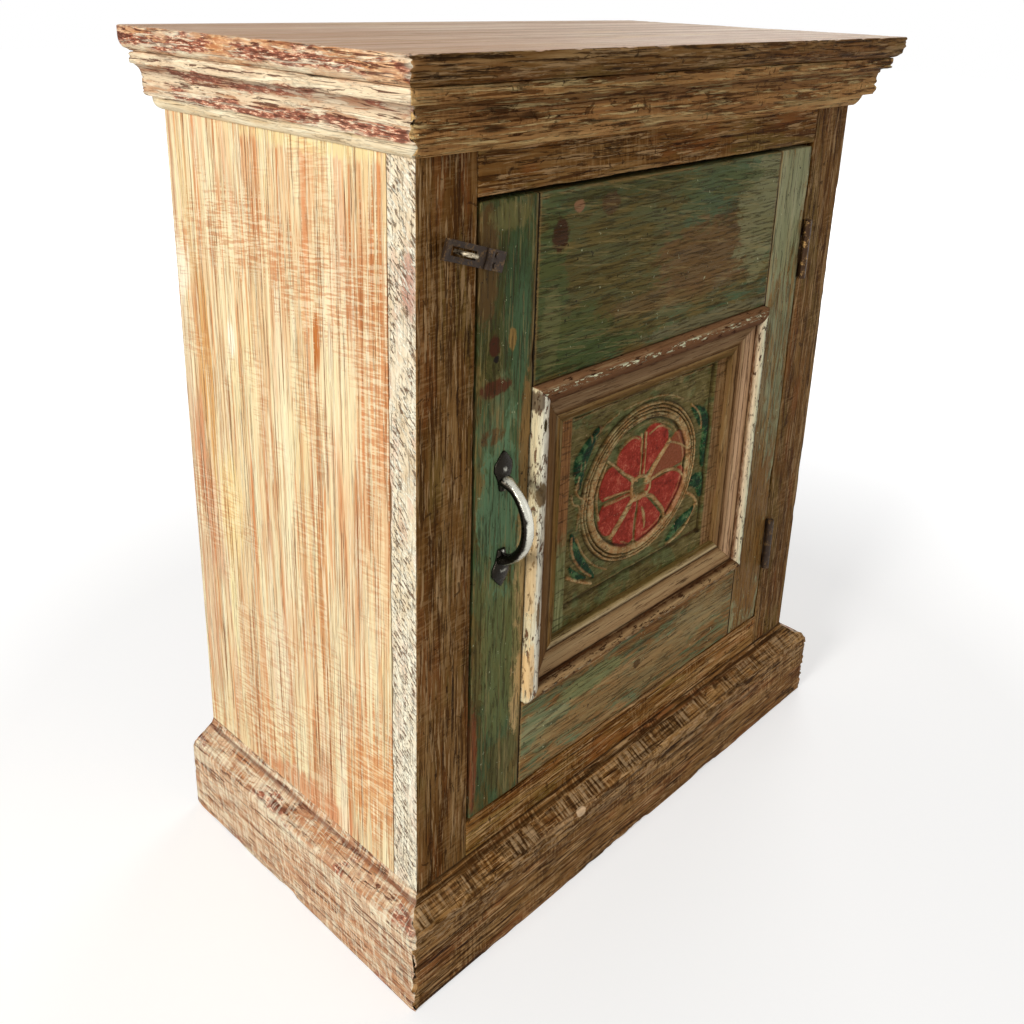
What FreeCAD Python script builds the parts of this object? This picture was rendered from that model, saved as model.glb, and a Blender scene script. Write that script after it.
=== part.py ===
import FreeCAD, Part
import Sketcher
import math
import operator
import os
from types import SimpleNamespace

# A small painted bedside cabinet: a case with a moulded top, a plinth and one framed door whose carved
# panel sits in a raised mitred moulding. +Z is up, the front faces -Y, and the origin is the middle of
# the footprint on the floor. Lengths are millimetres, angles degrees, and shares are plain proportions.
SIZES = {
    # Case
    "body_width": 490,
    "body_depth": 265,
    "total_height": 650,
    "side_thickness": 20,
    "back_thickness": 12,
    "back_board_gap": 0.6,
    "middle_back_share": 0.36,
    # Top board
    "top_thickness": 17,
    "top_overhang": 30,
    "top_round": 10,
    # Cornice moulding and the small bead below it
    "crown_height": 30,
    "crown_projection": 23.5,
    "fascia_projection": 15.2,
    "fascia_height": 13.5,
    "bead_height": 10,
    "bead_projection": 8.7,
    # Plinth
    "plinth_height": 79,
    "plinth_thickness": 21,
    "plinth_face_height": 60,
    "shoulder_step": 4,
    "shoulder_height": 66.5,
    "shoulder_round": 8,
    "ledge_width": 3,
    "ledge_height": 74.5,
    # Face frame
    "frame_thickness": 25,
    "frame_stile_left": 48,
    "frame_stile_right": 52,
    "opening_bottom": 109.5,
    "frame_rail_top": 67,
    "frame_rail_bottom": 65,
    "tenon_length": 25,
    "tenon_thickness": 8,
    "tenon_shoulder": 14,
    "joint_clearance": 0.2,
    # Inside
    "board_thickness": 15,
    "shelf_rise": 230.5,
    "shelf_setback": 8,
    "cleat_height": 20,
    "cleat_depth": 15,
    "cleat_setback": 12,
    "rear_rail_height": 40,
    "rear_rail_depth": 20,
    "block_leg": 32,
    "block_height": 26,
    "stop_width": 18,
    "stop_depth": 12,
    "stop_reach": 9,
    "stop_height": 120,
    # Door
    "door_stop_gap": 0.5,
    "door_gap_side": 2,
    "door_gap_top": 3,
    "door_gap_bottom": 2,
    "door_stile_left": 51.5,
    "door_stile_right": 48,
    "door_rail_top": 128,
    "door_rail_bottom": 74.5,
    "door_tenon_shoulder": 20,
    # Carved panel
    "panel_recess": 8,
    "panel_thickness": 10,
    "groove_depth": 8,
    "groove_floor_gap": 0.5,
    "field_recess": 2,
    "carving_slope": 25,
    "field_width": 179,
    "field_height": 155,
    "field_lift": 6.5,
    "ring_width": 146,
    "ring_height": 131,
    "ring_lift": 5,
    "ring_band": 5,
    "ring_groove": 3,
    "flower_lift": 2,
    "flower_side_gap": 1,
    "flower_end_gap": 4.5,
    "petal_root_share": 0.24,
    "petal_side_share": 0.88,
    "petal_turn": 18,
    "petal_end_share": 0.575,
    "button_share": 0.13,
    "leaf_gap": 4,
    "leaf_turn": 22,
    "leaf_round_share": 0.5,
    # Raised moulding round the panel
    "moulding_gap": 0.5,
    "moulding_width": 36,
    "bead_width": 13,
    "flank_height": 11,
    "bead_rise": 5,
    "quirk_drop": 1.5,
    "band_width": 15,
    "band_height": 10,
    "inner_height": 5,
    "inner_width": 7,
    # Butt hinges
    "hinge_height": 50,
    "upper_hinge_drop": 87,
    "lower_hinge_rise": 79.5,
    "knuckle_radius": 3.4,
    "knuckle_end_share": 0.28,
    "knuckle_gap": 0.2,
    "pin_radius": 1.6,
    "pin_clearance": 0.05,
    "pin_head_radius": 2.8,
    "pin_head_height": 0.8,
    "hinge_stand_off": 0.4,
    "leaf_thickness": 1.3,
    "leaf_width": 18,
    "recess_clearance": 0.1,
    "knuckle_room": 0.4,
    "screw_spacing": 30,
    "screw_head_radius": 2.6,
    "screw_head_height": 1.2,
    "screw_radius": 1.4,
    "screw_length": 15,
    "screw_clearance": 0.1,
    "screw_row": 12,
    # Pull handle
    "handle_from_edge": 25.5,
    "handle_rise": 235.5,
    "handle_foot_centre": 29.5,
    "handle_projection": 28.5,
    "handle_grip_radius": 4.4,
    "handle_neck_radius": 3.2,
    "foot_thickness": 4,
    "foot_half_width": 8.8,
    "foot_tip": 50.5,
    "foot_shoulder": 37.5,
    "foot_root": 26,
    "foot_root_half_width": 4.2,
    "foot_tip_round": 18,
    "foot_root_round": 26,
    "bolt_radius": 2,
    "bolt_head_radius": 4,
    "bolt_head_height": 2.4,
    "bolt_reach": 2.5,
    # Hasp and staple
    "hasp_tilt": 18,
    "hasp_from_edge": 5.5,
    "hasp_drop": 34,
    "hasp_axis_proud": 2.9,
    "hasp_knuckle_radius": 2.6,
    "hasp_pin_radius": 1.1,
    "strap_width": 13,
    "strap_thickness": 1.6,
    "strap_stand_off": 1,
    "strap_length": 42,
    "strap_lip": 8,
    "strap_knuckle_share": 0.4,
    "slot_near": 11,
    "slot_length": 21,
    "slot_width": 5.6,
    "staple_wire_radius": 1.5,
    "staple_spread": 10.5,
    "staple_projection": 10.5,
    "staple_embed": 10,
    "staple_centre": 21,
    "plate_length": 13,
    "plate_thickness": 1.4,
    "nail_radius": 1,
    "nail_head_radius": 1.9,
    "nail_head_height": 0.8,
    "nail_length": 12,
    "nail_from_axis": 8,
    "nail_spacing": 6.5,
    # Shared by all cuts
    "overrun": 5,
}

doc = FreeCAD.newDocument("Nightstand")
sheet = doc.addObject("Spreadsheet::Sheet", "Sizes")
for row, (alias, number) in enumerate(SIZES.items(), start=1):
    sheet.set("A%d" % row, alias)
    sheet.set("B%d" % row, str(number))
    sheet.setAlias("B%d" % row, alias)
doc.recompute()

OPERATIONS = {"+": operator.add, "-": operator.sub, "*": operator.mul, "/": operator.truediv}


class Size:
    """A sheet value or a sum of them: the text of its expression and its present value."""

    def __init__(self, text, value):
        self.text = text
        self.value = value

    def __add__(self, other):
        return combine(self, "+", other)

    def __radd__(self, other):
        return combine(other, "+", self)

    def __sub__(self, other):
        return combine(self, "-", other)

    def __rsub__(self, other):
        return combine(other, "-", self)

    def __mul__(self, other):
        return combine(self, "*", other)

    def __rmul__(self, other):
        return combine(other, "*", self)

    def __truediv__(self, other):
        return combine(self, "/", other)

    def __neg__(self):
        return combine(0, "-", self)


def as_size(thing):
    if isinstance(thing, Size):
        return thing
    return Size(str(thing), float(thing))


def combine(first, sign, second):
    first = as_size(first)
    second = as_size(second)
    text = "(%s %s %s)" % (first.text, sign, second.text)
    return Size(text, OPERATIONS[sign](first.value, second.value))


def cosine(angle):
    angle = as_size(angle)
    return Size("cos(%s)" % angle.text, math.cos(math.radians(angle.value)))


def arcsine(share):
    return Size("asin(%s)" % share.text, math.degrees(math.asin(share.value)))


def sine(angle):
    angle = as_size(angle)
    return Size("sin(%s)" % angle.text, math.sin(math.radians(angle.value)))


def distance(first, second):
    """Straight distance between two places."""
    across = second[0] - first[0]
    up = second[1] - first[1]
    square = across * across + up * up
    return Size("sqrt(%s)" % square.text, math.sqrt(square.value))


def bow_radius(chord, rise):
    """Radius of the arc that rises by rise over a straight chord."""
    return (chord * chord / 4 + rise * rise) / (2 * rise)


def bind(thing, property_name, size):
    thing.setExpression(property_name, as_size(size).text)


dim = SimpleNamespace()
for alias, number in SIZES.items():
    setattr(dim, alias, Size("Sizes." + alias, float(number)))

NODES = []


def new_body(name, x, y, z, turn=FreeCAD.Rotation()):
    """Starts a named piece whose own frame stands at x, y, z."""
    body = doc.addObject("PartDesign::Body", name)
    body.Label = name
    body.Placement = FreeCAD.Placement(FreeCAD.Vector(), turn)
    for axis, place in zip("xyz", (x, y, z)):
        bind(body, "Placement.Base." + axis, place)
    NODES.append(body)
    return body


def new_sketch(body, plane, offset=None):
    """Adds a sketch on one of the body's own planes, moved along its normal by offset."""
    sketch = body.newObject("Sketcher::SketchObject", body.Name + "_sketch")
    planes = [feature for feature in body.Origin.OriginFeatures if feature.Role == plane + "_Plane"]
    sketch.AttachmentSupport = [(planes[0], "")]
    sketch.MapMode = "FlatFace"
    if offset is not None:
        bind(sketch, "AttachmentOffset.Base.z", offset)
    return sketch


def fix_point(sketch, edge, end, x, y):
    """Ties a point of a sketch to its place."""
    for kind, axis, place in (("DistanceX", -2, as_size(x)), ("DistanceY", -1, as_size(y))):
        if place.text == "0":
            sketch.addConstraint(Sketcher.Constraint("PointOnObject", edge, end, axis))
        else:
            number = sketch.addConstraint(Sketcher.Constraint(kind, -1, 1, edge, end, place.value))
            bind(sketch, "Constraints[%d]" % number, place)


def arc_through(start, end, radius, side):
    """Arc of under half a turn whose centre lies on the named side of the way from start to end."""
    chord = end - start
    across = FreeCAD.Vector(-chord.y, chord.x, 0)
    across.normalize()
    rise = math.sqrt(max(radius * radius - chord.Length * chord.Length / 4, 0))
    if side == "right":
        across = -across
    centre = (start + end) / 2 + across * rise
    first, last = (start, end) if side == "left" else (end, start)
    angles = [math.atan2(point.y - centre.y, point.x - centre.x) for point in (first, last)]
    circle = Part.Circle(centre, FreeCAD.Vector(0, 0, 1), radius)
    return Part.ArcOfCircle(circle, angles[0], angles[1])


def outline(sketch, corners):
    """Closes a wire through corners (x, y). A corner (x, y, radius, side) starts an arc."""
    places = [FreeCAD.Vector(as_size(corner[0]).value, as_size(corner[1]).value, 0) for corner in corners]
    ends = []
    for index, corner in enumerate(corners):
        start = places[index]
        end = places[(index + 1) % len(places)]
        if len(corner) > 2:
            radius, side = as_size(corner[2]), corner[3]
            edge = sketch.addGeometry(arc_through(start, end, radius.value, side), False)
            number = sketch.addConstraint(Sketcher.Constraint("Radius", edge, radius.value))
            bind(sketch, "Constraints[%d]" % number, radius)
            ends.append((edge, 1, 2) if side == "left" else (edge, 2, 1))
        else:
            edge = sketch.addGeometry(Part.LineSegment(start, end), False)
            ends.append((edge, 1, 2))
    for index, (edge, first, last) in enumerate(ends):
        following = ends[(index + 1) % len(ends)]
        sketch.addConstraint(Sketcher.Constraint("Coincident", edge, last, following[0], following[1]))
        fix_point(sketch, edge, first, corners[index][0], corners[index][1])


def rectangle(sketch, x, y, width, height):
    x, y = as_size(x), as_size(y)
    outline(sketch, [(x, y), (x + width, y), (x + width, y + height), (x, y + height)])


def circle(sketch, x, y, radius):
    x, y, radius = as_size(x), as_size(y), as_size(radius)
    centre = FreeCAD.Vector(x.value, y.value, 0)
    edge = sketch.addGeometry(Part.Circle(centre, FreeCAD.Vector(0, 0, 1), radius.value), False)
    fix_point(sketch, edge, 3, x, y)
    number = sketch.addConstraint(Sketcher.Constraint("Radius", edge, radius.value))
    bind(sketch, "Constraints[%d]" % number, radius)


def octagon(sketch, x, y, radius):
    """Eight-sided section of forged bar, measured to its corners."""
    corners = []
    for number in range(8):
        angle = as_size((number + 1 / 2) * 360 / 8)
        corners.append((x + radius * cosine(angle), y + radius * sine(angle)))
    outline(sketch, corners)


def ruled_loft(body, rings, cut=False):
    """Straight-sided form through a row of sections, added to the body or cut out of it."""
    doc.recompute()
    kind = "PartDesign::SubtractiveLoft" if cut else "PartDesign::AdditiveLoft"
    feature = body.newObject(kind, body.Name + "_loft")
    feature.Profile = rings[0]
    feature.Sections = rings[1:]
    feature.Ruled = True
    doc.recompute()
    return feature


def pad(body, sketch, length, reverse=False):
    feature = body.newObject("PartDesign::Pad", body.Name + "_pad")
    feature.Profile = sketch
    feature.Reversed = reverse
    bind(feature, "Length", length)
    doc.recompute()
    return feature


def pocket(body, sketch, depth, reverse=False):
    """Cuts away from the sketch's own side, or towards it when reversed, and checks that it cut."""
    before = body.Shape.Volume
    feature = body.newObject("PartDesign::Pocket", body.Name + "_pocket")
    feature.Profile = sketch
    feature.Reversed = reverse
    bind(feature, "Length", depth)
    doc.recompute()
    if not body.Shape.Volume < before:
        raise RuntimeError("A pocket of %s cuts nothing" % body.Label)
    return feature


def fillet(body, base, radius, chosen):
    """Rounds the edges of base for which chosen(edge) is true."""
    names = ["Edge%d" % number for number, edge in enumerate(base.Shape.Edges, start=1) if chosen(edge)]
    feature = body.newObject("PartDesign::Fillet", body.Name + "_fillet")
    feature.Base = (base, names)
    bind(feature, "Radius", radius)
    doc.recompute()
    return feature


def board(name, x, y, z, width, depth, height):
    """A plain board: its section is drawn on the floor plane and raised by its height."""
    body = new_body(name, x, y, z)
    sketch = new_sketch(body, "XY")
    rectangle(sketch, 0, 0, width, depth)
    pad(body, sketch, height)
    return body


# Places that several pieces share
left = -dim.body_width / 2
right = dim.body_width / 2
front = (dim.top_overhang - dim.body_depth) / 2
back = (dim.top_overhang + dim.body_depth) / 2
inside_left = left + dim.side_thickness
inside_width = dim.body_width - 2 * dim.side_thickness
inside_front = front + dim.frame_thickness
inside_back = back - dim.back_thickness
top_underside = dim.total_height - dim.top_thickness
opening_top = top_underside - dim.frame_rail_top
shelf_top = dim.opening_bottom + dim.shelf_rise
opening_left = left + dim.frame_stile_left
opening_right = right - dim.frame_stile_right
opening_width = dim.body_width - dim.frame_stile_left - dim.frame_stile_right
crown_bottom = top_underside - dim.crown_height
bead_bottom = crown_bottom - dim.bead_height


def make_top_board():
    """Top board with a rounded lower edge along the front and both ends."""
    body = new_body("top_board", left - dim.top_overhang, front - dim.top_overhang, top_underside)
    sketch = new_sketch(body, "XY")
    width = dim.body_width + 2 * dim.top_overhang
    rectangle(sketch, 0, 0, width, dim.body_depth + dim.top_overhang)
    base = pad(body, sketch, dim.top_thickness)
    box = base.Shape.BoundBox

    def is_low_and_not_at_the_back(edge):
        return edge.BoundBox.ZMax < box.ZMax / 2 and edge.BoundBox.YMin < box.YMax / 2

    fillet(body, base, dim.top_round, is_low_and_not_at_the_back)


def crown_section():
    cove = dim.crown_projection - dim.fascia_projection
    return [
        (0, 0),
        (dim.fascia_projection, 0),
        (dim.fascia_projection, dim.fascia_height, cove, "right"),
        (dim.crown_projection, dim.fascia_height + cove),
        (dim.crown_projection, dim.crown_height),
        (0, dim.crown_height),
    ]


def bead_section():
    return [
        (0, 0, dim.bead_projection, "left"),
        (dim.bead_projection, dim.bead_projection),
        (dim.bead_projection, dim.bead_height),
        (0, dim.bead_height),
    ]


def plinth_section():
    return [
        (0, 0),
        (dim.plinth_thickness, 0),
        (dim.plinth_thickness, dim.plinth_face_height, dim.shoulder_round, "left"),
        (dim.plinth_thickness - dim.shoulder_step, dim.shoulder_height),
        (dim.ledge_width, dim.ledge_height),
        (0, dim.plinth_height),
    ]


def outside_strip(name, section, reach, length, place, turn, flip=False):
    """A moulding round the case: x outwards, y along it from its mitred tip, mitred at the start.

    The front strip is mitred at both ends. A flipped strip runs the other way along y.
    """
    body = new_body(name, place[0], place[1], place[2], turn)
    sketch = new_sketch(body, "XZ")
    outline(sketch, section)
    pad(body, sketch, length, reverse=not flip)
    sign = -1 if flip else 1
    tip = reach + dim.overrun
    cut = new_sketch(body, "XY")
    outline(cut, [
        (-dim.overrun, -sign * dim.overrun),
        (tip, -sign * dim.overrun),
        (-dim.overrun, sign * tip),
    ])
    pocket(body, cut, dim.total_height, reverse=True)
    return body


def make_round_the_case(stem, section, reach, z):
    """Front, left and right strips of one section, mitred together at the two front corners."""
    turn_front = FreeCAD.Rotation(FreeCAD.Vector(0, 0, 1), -90)
    turn_left = FreeCAD.Rotation(FreeCAD.Vector(0, 0, 1), 180)
    side_length = dim.body_depth + reach
    front_length = dim.body_width + 2 * reach
    strip = outside_strip(stem + "_front", section, reach, front_length,
                          (left - reach, front, z), turn_front)
    far_cut = new_sketch(strip, "XY")
    outline(far_cut, [
        (-dim.overrun, front_length + dim.overrun),
        (-dim.overrun, front_length - reach - dim.overrun),
        (reach + dim.overrun, front_length + dim.overrun),
    ])
    pocket(strip, far_cut, dim.total_height, reverse=True)
    outside_strip(stem + "_right", section, reach, side_length, (right, front - reach, z),
                  FreeCAD.Rotation())
    outside_strip(stem + "_left", section, reach, side_length, (left, front - reach, z),
                  turn_left, flip=True)


def make_case():
    """Sides, back boards, floor, shelf and the cleats, rails and blocks that carry them."""
    side_depth = dim.body_depth - dim.frame_thickness
    for name, x in (("side_panel_left", left), ("side_panel_right", right - dim.side_thickness)):
        board(name, x, inside_front, 0, dim.side_thickness, side_depth, top_underside)
    middle = inside_width * dim.middle_back_share
    outer = (inside_width - middle) / 2 - dim.back_board_gap
    backs = (
        ("back_board_left", inside_left, outer),
        ("back_board_middle", -middle / 2, middle),
        ("back_board_right", -inside_left - outer, outer),
    )
    for name, x, width in backs:
        board(name, x, inside_back, 0, width, dim.back_thickness, top_underside)
    floor_under = dim.opening_bottom - dim.board_thickness
    floor_depth = inside_back - inside_front
    board("bottom_board", inside_left, inside_front, floor_under,
          inside_width, floor_depth, dim.board_thickness)
    shelf_front = inside_front + dim.shelf_setback
    board("shelf", inside_left, shelf_front, shelf_top - dim.board_thickness,
          inside_width, inside_back - shelf_front, dim.board_thickness)
    cleat_front = shelf_front + dim.cleat_setback
    levels = (("shelf_cleat", shelf_top - dim.board_thickness), ("bottom_cleat", floor_under))
    for stem, top in levels:
        for side, x in (("left", inside_left), ("right", -inside_left - dim.cleat_depth)):
            board(stem + "_" + side, x, cleat_front, top - dim.cleat_height,
                  dim.cleat_depth, inside_back - dim.rear_rail_depth - cleat_front, dim.cleat_height)
    rail_y = inside_back - dim.rear_rail_depth
    board("rear_rail_top", inside_left, rail_y, top_underside - dim.rear_rail_height,
          inside_width, dim.rear_rail_depth, dim.rear_rail_height)
    board("rear_rail_bottom", inside_left, rail_y, floor_under - dim.rear_rail_height,
          inside_width, dim.rear_rail_depth, dim.rear_rail_height)
    board("door_stop", opening_left + dim.stop_reach - dim.stop_width, inside_front,
          (shelf_top + opening_top - dim.stop_height) / 2,
          dim.stop_width, dim.stop_depth, dim.stop_height)
    for side, x, turn in (("left", inside_left, 0), ("right", -inside_left, 90)):
        rotation = FreeCAD.Rotation(FreeCAD.Vector(0, 0, 1), turn)
        block = new_body("corner_block_" + side, x, inside_front,
                         top_underside - dim.block_height, rotation)
        sketch = new_sketch(block, "XY")
        outline(sketch, [(0, 0), (dim.block_leg, 0), (0, dim.block_leg)])
        pad(block, sketch, dim.block_height)


def cut_in_edge(body, face, y, z, depth_across, height, depth):
    """Cuts a slot into the left (face 0) or right edge of an upright or the end of a rail."""
    sketch = new_sketch(body, "YZ", face)
    rectangle(sketch, as_size(y), as_size(z), depth_across, height)
    pocket(body, sketch, depth, reverse=as_size(face).text == "0")


def stile_mortise(body, face, thickness, rail_bottom, rail_height, shoulder):
    """Cuts the mortise for a rail's tenon, a named clearance wider than the tenon all round."""
    gap = dim.joint_clearance
    start = (thickness - dim.tenon_thickness) / 2 - gap
    cut_in_edge(body, face, start, rail_bottom + shoulder - gap, dim.tenon_thickness + 2 * gap,
                rail_height - 2 * shoulder + 2 * gap, dim.tenon_length + gap)


def rail(name, x, y, z, length, thickness, height, shoulder):
    """A rail with a tenon on each end, drawn as its end section and run along x."""
    body = new_body(name, x, y, z)
    section = new_sketch(body, "YZ")
    rectangle(section, 0, 0, thickness, height)
    pad(body, section, length)
    for offset, reverse in ((as_size(0), True), (length, False)):
        tenon = new_sketch(body, "YZ", offset)
        rectangle(tenon, (thickness - dim.tenon_thickness) / 2, shoulder,
                  dim.tenon_thickness, height - 2 * shoulder)
        pad(body, tenon, dim.tenon_length, reverse)
    return body


def make_face_frame():
    """Two stiles and two rails, joined with mortises and tenons, round the door opening."""
    low_rail_z = dim.opening_bottom - dim.frame_rail_bottom
    inner_left = dim.frame_stile_left
    uprights = (
        ("frame_stile_left", left, dim.frame_stile_left, inner_left),
        ("frame_stile_right", opening_right, dim.frame_stile_right, as_size(0)),
    )
    stiles = []
    for name, x, width, face in uprights:
        stile = board(name, x, front, 0, width, dim.frame_thickness, top_underside)
        stile_mortise(stile, face, dim.frame_thickness, opening_top, dim.frame_rail_top,
                      dim.tenon_shoulder)
        stile_mortise(stile, face, dim.frame_thickness, low_rail_z, dim.frame_rail_bottom,
                      dim.tenon_shoulder)
        stiles.append(stile)
    for name, z, height in (
        ("frame_rail_top", opening_top, dim.frame_rail_top),
        ("frame_rail_bottom", low_rail_z, dim.frame_rail_bottom),
    ):
        rail(name, opening_left, front, z, opening_width, dim.frame_thickness, height,
             dim.tenon_shoulder)
    return stiles


# The door and its panel
door_left = opening_left + dim.door_gap_side
door_bottom = dim.opening_bottom + dim.door_gap_bottom
door_width = opening_width - 2 * dim.door_gap_side
door_height = opening_top - dim.door_gap_top - door_bottom
door_thickness = dim.frame_thickness - dim.door_stop_gap
light_left = door_left + dim.door_stile_left
light_width = door_width - dim.door_stile_left - dim.door_stile_right
light_bottom = door_bottom + dim.door_rail_bottom
light_height = door_height - dim.door_rail_bottom - dim.door_rail_top
groove_front = dim.panel_recess - dim.joint_clearance
groove_width = dim.panel_thickness + 2 * dim.joint_clearance
groove_cut = dim.groove_depth + dim.groove_floor_gap
panel_face = front + dim.panel_recess


def make_door_frame():
    """Stiles and rails of the door, grooved on their inner edges for the panel."""
    stiles = []
    for name, x, width, face in (
        ("door_stile_left", door_left, dim.door_stile_left, dim.door_stile_left),
        ("door_stile_right", light_left + light_width, dim.door_stile_right, as_size(0)),
    ):
        stile = board(name, x, front, door_bottom, width, door_thickness, door_height)
        stile_mortise(stile, face, door_thickness, as_size(0), dim.door_rail_bottom,
                      dim.door_tenon_shoulder)
        stile_mortise(stile, face, door_thickness, door_height - dim.door_rail_top,
                      dim.door_rail_top, dim.door_tenon_shoulder)
        cut_in_edge(stile, face, groove_front, dim.door_rail_bottom - groove_cut, groove_width,
                    light_height + 2 * groove_cut, groove_cut)
        stiles.append(stile)
    for name, z, height, edge, upwards in (
        ("door_rail_bottom", door_bottom, dim.door_rail_bottom, dim.door_rail_bottom, False),
        ("door_rail_top", light_bottom + light_height, dim.door_rail_top, as_size(0), True),
    ):
        body = rail(name, light_left, front, z, light_width, door_thickness, height,
                    dim.door_tenon_shoulder)
        groove = new_sketch(body, "XY", edge)
        rectangle(groove, -dim.overrun, groove_front, light_width + 2 * dim.overrun, groove_width)
        pocket(body, groove, groove_cut, reverse=upwards)
    return stiles


def oval(sketch, x, y, width, height):
    """A closed oval of four arcs that meet on the diagonals."""
    across = width / 2
    up = height / 2
    meet_x = across * cosine(as_size(45))
    meet_y = up * sine(as_size(45))
    end_round = bow_radius(2 * meet_y, across - meet_x)
    top_round = bow_radius(2 * meet_x, up - meet_y)
    outline(sketch, [
        (x + meet_x, y - meet_y, end_round, "left"),
        (x + meet_x, y + meet_y, top_round, "left"),
        (x - meet_x, y + meet_y, end_round, "left"),
        (x - meet_x, y - meet_y, top_round, "left"),
    ])


ring_reach = 2 * dim.ring_band + dim.ring_groove
flower_width = dim.ring_width - 2 * (ring_reach + dim.flower_side_gap)
flower_height = dim.ring_height - 2 * (ring_reach + dim.flower_end_gap)


def petal(sketch, x, y, angle):
    """One petal: a narrow root near the middle, straight sides and a round end."""
    def spot(share, turn):
        return (x + flower_width / 2 * share * cosine(turn),
                y + flower_height / 2 * share * sine(turn))

    first_side = spot(dim.petal_side_share, angle - dim.petal_turn)
    last_side = spot(dim.petal_side_share, angle + dim.petal_turn)
    end_radius = distance(first_side, last_side) * dim.petal_end_share
    outline(sketch, [
        spot(dim.petal_root_share, angle),
        (first_side[0], first_side[1], end_radius, "left"),
        last_side,
    ])


def corner_leaf(sketch, x, y, diagonal):
    """A crescent leaf beside the ring, between it and the corner that lies on the diagonal."""
    across = dim.ring_width / 2 + dim.leaf_gap
    up = dim.ring_height / 2 + dim.leaf_gap
    inner_round = (across + up) / 2
    ends = []
    for side in (-1, 1):
        angle = as_size(diagonal) + side * dim.leaf_turn
        ends.append((x + across * cosine(angle), y + up * sine(angle)))
    outline(sketch, [
        (ends[0][0], ends[0][1], inner_round * dim.leaf_round_share, "left"),
        (ends[1][0], ends[1][1], inner_round, "right"),
    ])


def raised(body, sketch):
    """Leaves a carved form standing on the ground, its sides sloped as a gouge leaves them."""
    form = pad(body, sketch, dim.field_recess)
    bind(form, "TaperAngle", -dim.carving_slope)
    doc.recompute()


def make_carved_panel(petals=8):
    """Panel board whose ground is cut back round a flower in a double ring, with corner leaves."""
    width = light_width + 2 * dim.groove_depth
    height = light_height + 2 * dim.groove_depth
    body = new_body("carved_panel", light_left - dim.groove_depth, panel_face,
                    light_bottom - dim.groove_depth)
    blank = new_sketch(body, "XZ")
    rectangle(blank, 0, 0, width, height)
    pad(body, blank, dim.panel_thickness, reverse=True)
    x = width / 2
    middle = height / 2
    ground = new_sketch(body, "XZ")
    rectangle(ground, x - dim.field_width / 2, middle + dim.field_lift - dim.field_height / 2,
              dim.field_width, dim.field_height)
    pocket(body, ground, dim.field_recess)
    for inwards in (as_size(0), dim.ring_band + dim.ring_groove):
        ring = new_sketch(body, "XZ", -dim.field_recess)
        for edge in (inwards, inwards + dim.ring_band):
            oval(ring, x, middle + dim.ring_lift, dim.ring_width - 2 * edge, dim.ring_height - 2 * edge)
        raised(body, ring)
    for number in range(petals):
        sketch = new_sketch(body, "XZ", -dim.field_recess)
        petal(sketch, x, middle + dim.flower_lift, as_size((number + 1 / 2) * 360 / petals))
        raised(body, sketch)
    button = new_sketch(body, "XZ", -dim.field_recess)
    circle(button, x, middle + dim.flower_lift, flower_height * dim.button_share / 2)
    raised(body, button)
    for diagonal in (45, 135, 225, 315):
        leaf = new_sketch(body, "XZ", -dim.field_recess)
        corner_leaf(leaf, x, middle + dim.ring_lift, diagonal)
        pad(body, leaf, dim.field_recess)


def moulding_section():
    """Height above the panel against distance in from the outer edge."""
    crest = bow_radius(dim.bead_width, dim.bead_rise)
    band_end = dim.moulding_width - dim.inner_width
    return [
        (0, 0),
        (dim.moulding_width, 0),
        (dim.moulding_width, dim.inner_height),
        (band_end, dim.inner_height),
        (band_end - dim.band_width, dim.band_height),
        (dim.bead_width, dim.flank_height - dim.quirk_drop),
        (dim.bead_width, dim.flank_height, crest, "left"),
        (0, dim.flank_height),
    ]


def make_panel_moulding():
    """Four strips round the panel, mitred at 45 degrees, that stand proud of the door."""
    gap = dim.moulding_gap
    outer_width = light_width - 2 * gap
    outer_height = light_height - 2 * gap
    x = light_left + gap
    z = light_bottom + gap
    pieces = (
        ("panel_moulding_bottom", outer_width, (x, panel_face, z), 0),
        ("panel_moulding_right", outer_height, (x + outer_width, panel_face, z), 1),
        ("panel_moulding_top", outer_width, (x + outer_width, panel_face, z + outer_height), 2),
        ("panel_moulding_left", outer_height, (x, panel_face, z + outer_height), 3),
    )
    for name, length, place, quarter in pieces:
        turn = FreeCAD.Rotation(FreeCAD.Vector(0, -1, 0), quarter * 90)
        body = new_body(name, place[0], place[1], place[2], turn)
        section = new_sketch(body, "YZ")
        outline(section, [(-corner[1], corner[0]) + corner[2:] for corner in moulding_section()])
        pad(body, section, length)
        reach = dim.moulding_width + dim.overrun
        for start, sign in ((as_size(0), 1), (length, -1)):
            mitre = new_sketch(body, "XZ", -dim.overrun)
            outline(mitre, [
                (start - sign * dim.overrun, -dim.overrun),
                (start + sign * reach, reach),
                (start - sign * dim.overrun, reach),
            ])
            pocket(body, mitre, dim.total_height, reverse=True)


# Places of the hinges, the pull handle and the hasp
half_gap = dim.door_gap_side / 2
hinge_x = door_left + door_width + half_gap
hinge_reach = dim.knuckle_radius + dim.hinge_stand_off
hinge_y = front - hinge_reach
hinge_centres = (door_bottom + door_height - dim.upper_hinge_drop, door_bottom + dim.lower_hinge_rise)
hinge_middle = dim.hinge_height - 2 * dim.hinge_height * dim.knuckle_end_share
handle_x = door_left + dim.handle_from_edge
handle_z = door_bottom + dim.handle_rise
hasp_x = door_left + dim.hasp_from_edge
hasp_y = front - dim.hasp_axis_proud
hasp_z = door_bottom + door_height - dim.hasp_drop
hasp_cosine = cosine(dim.hasp_tilt)
hasp_sine = sine(dim.hasp_tilt)
hasp_turn = FreeCAD.Rotation(FreeCAD.Vector(0, 1, 0), dim.hasp_tilt.value)
strap_middle = dim.strap_width * dim.strap_knuckle_share


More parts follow.
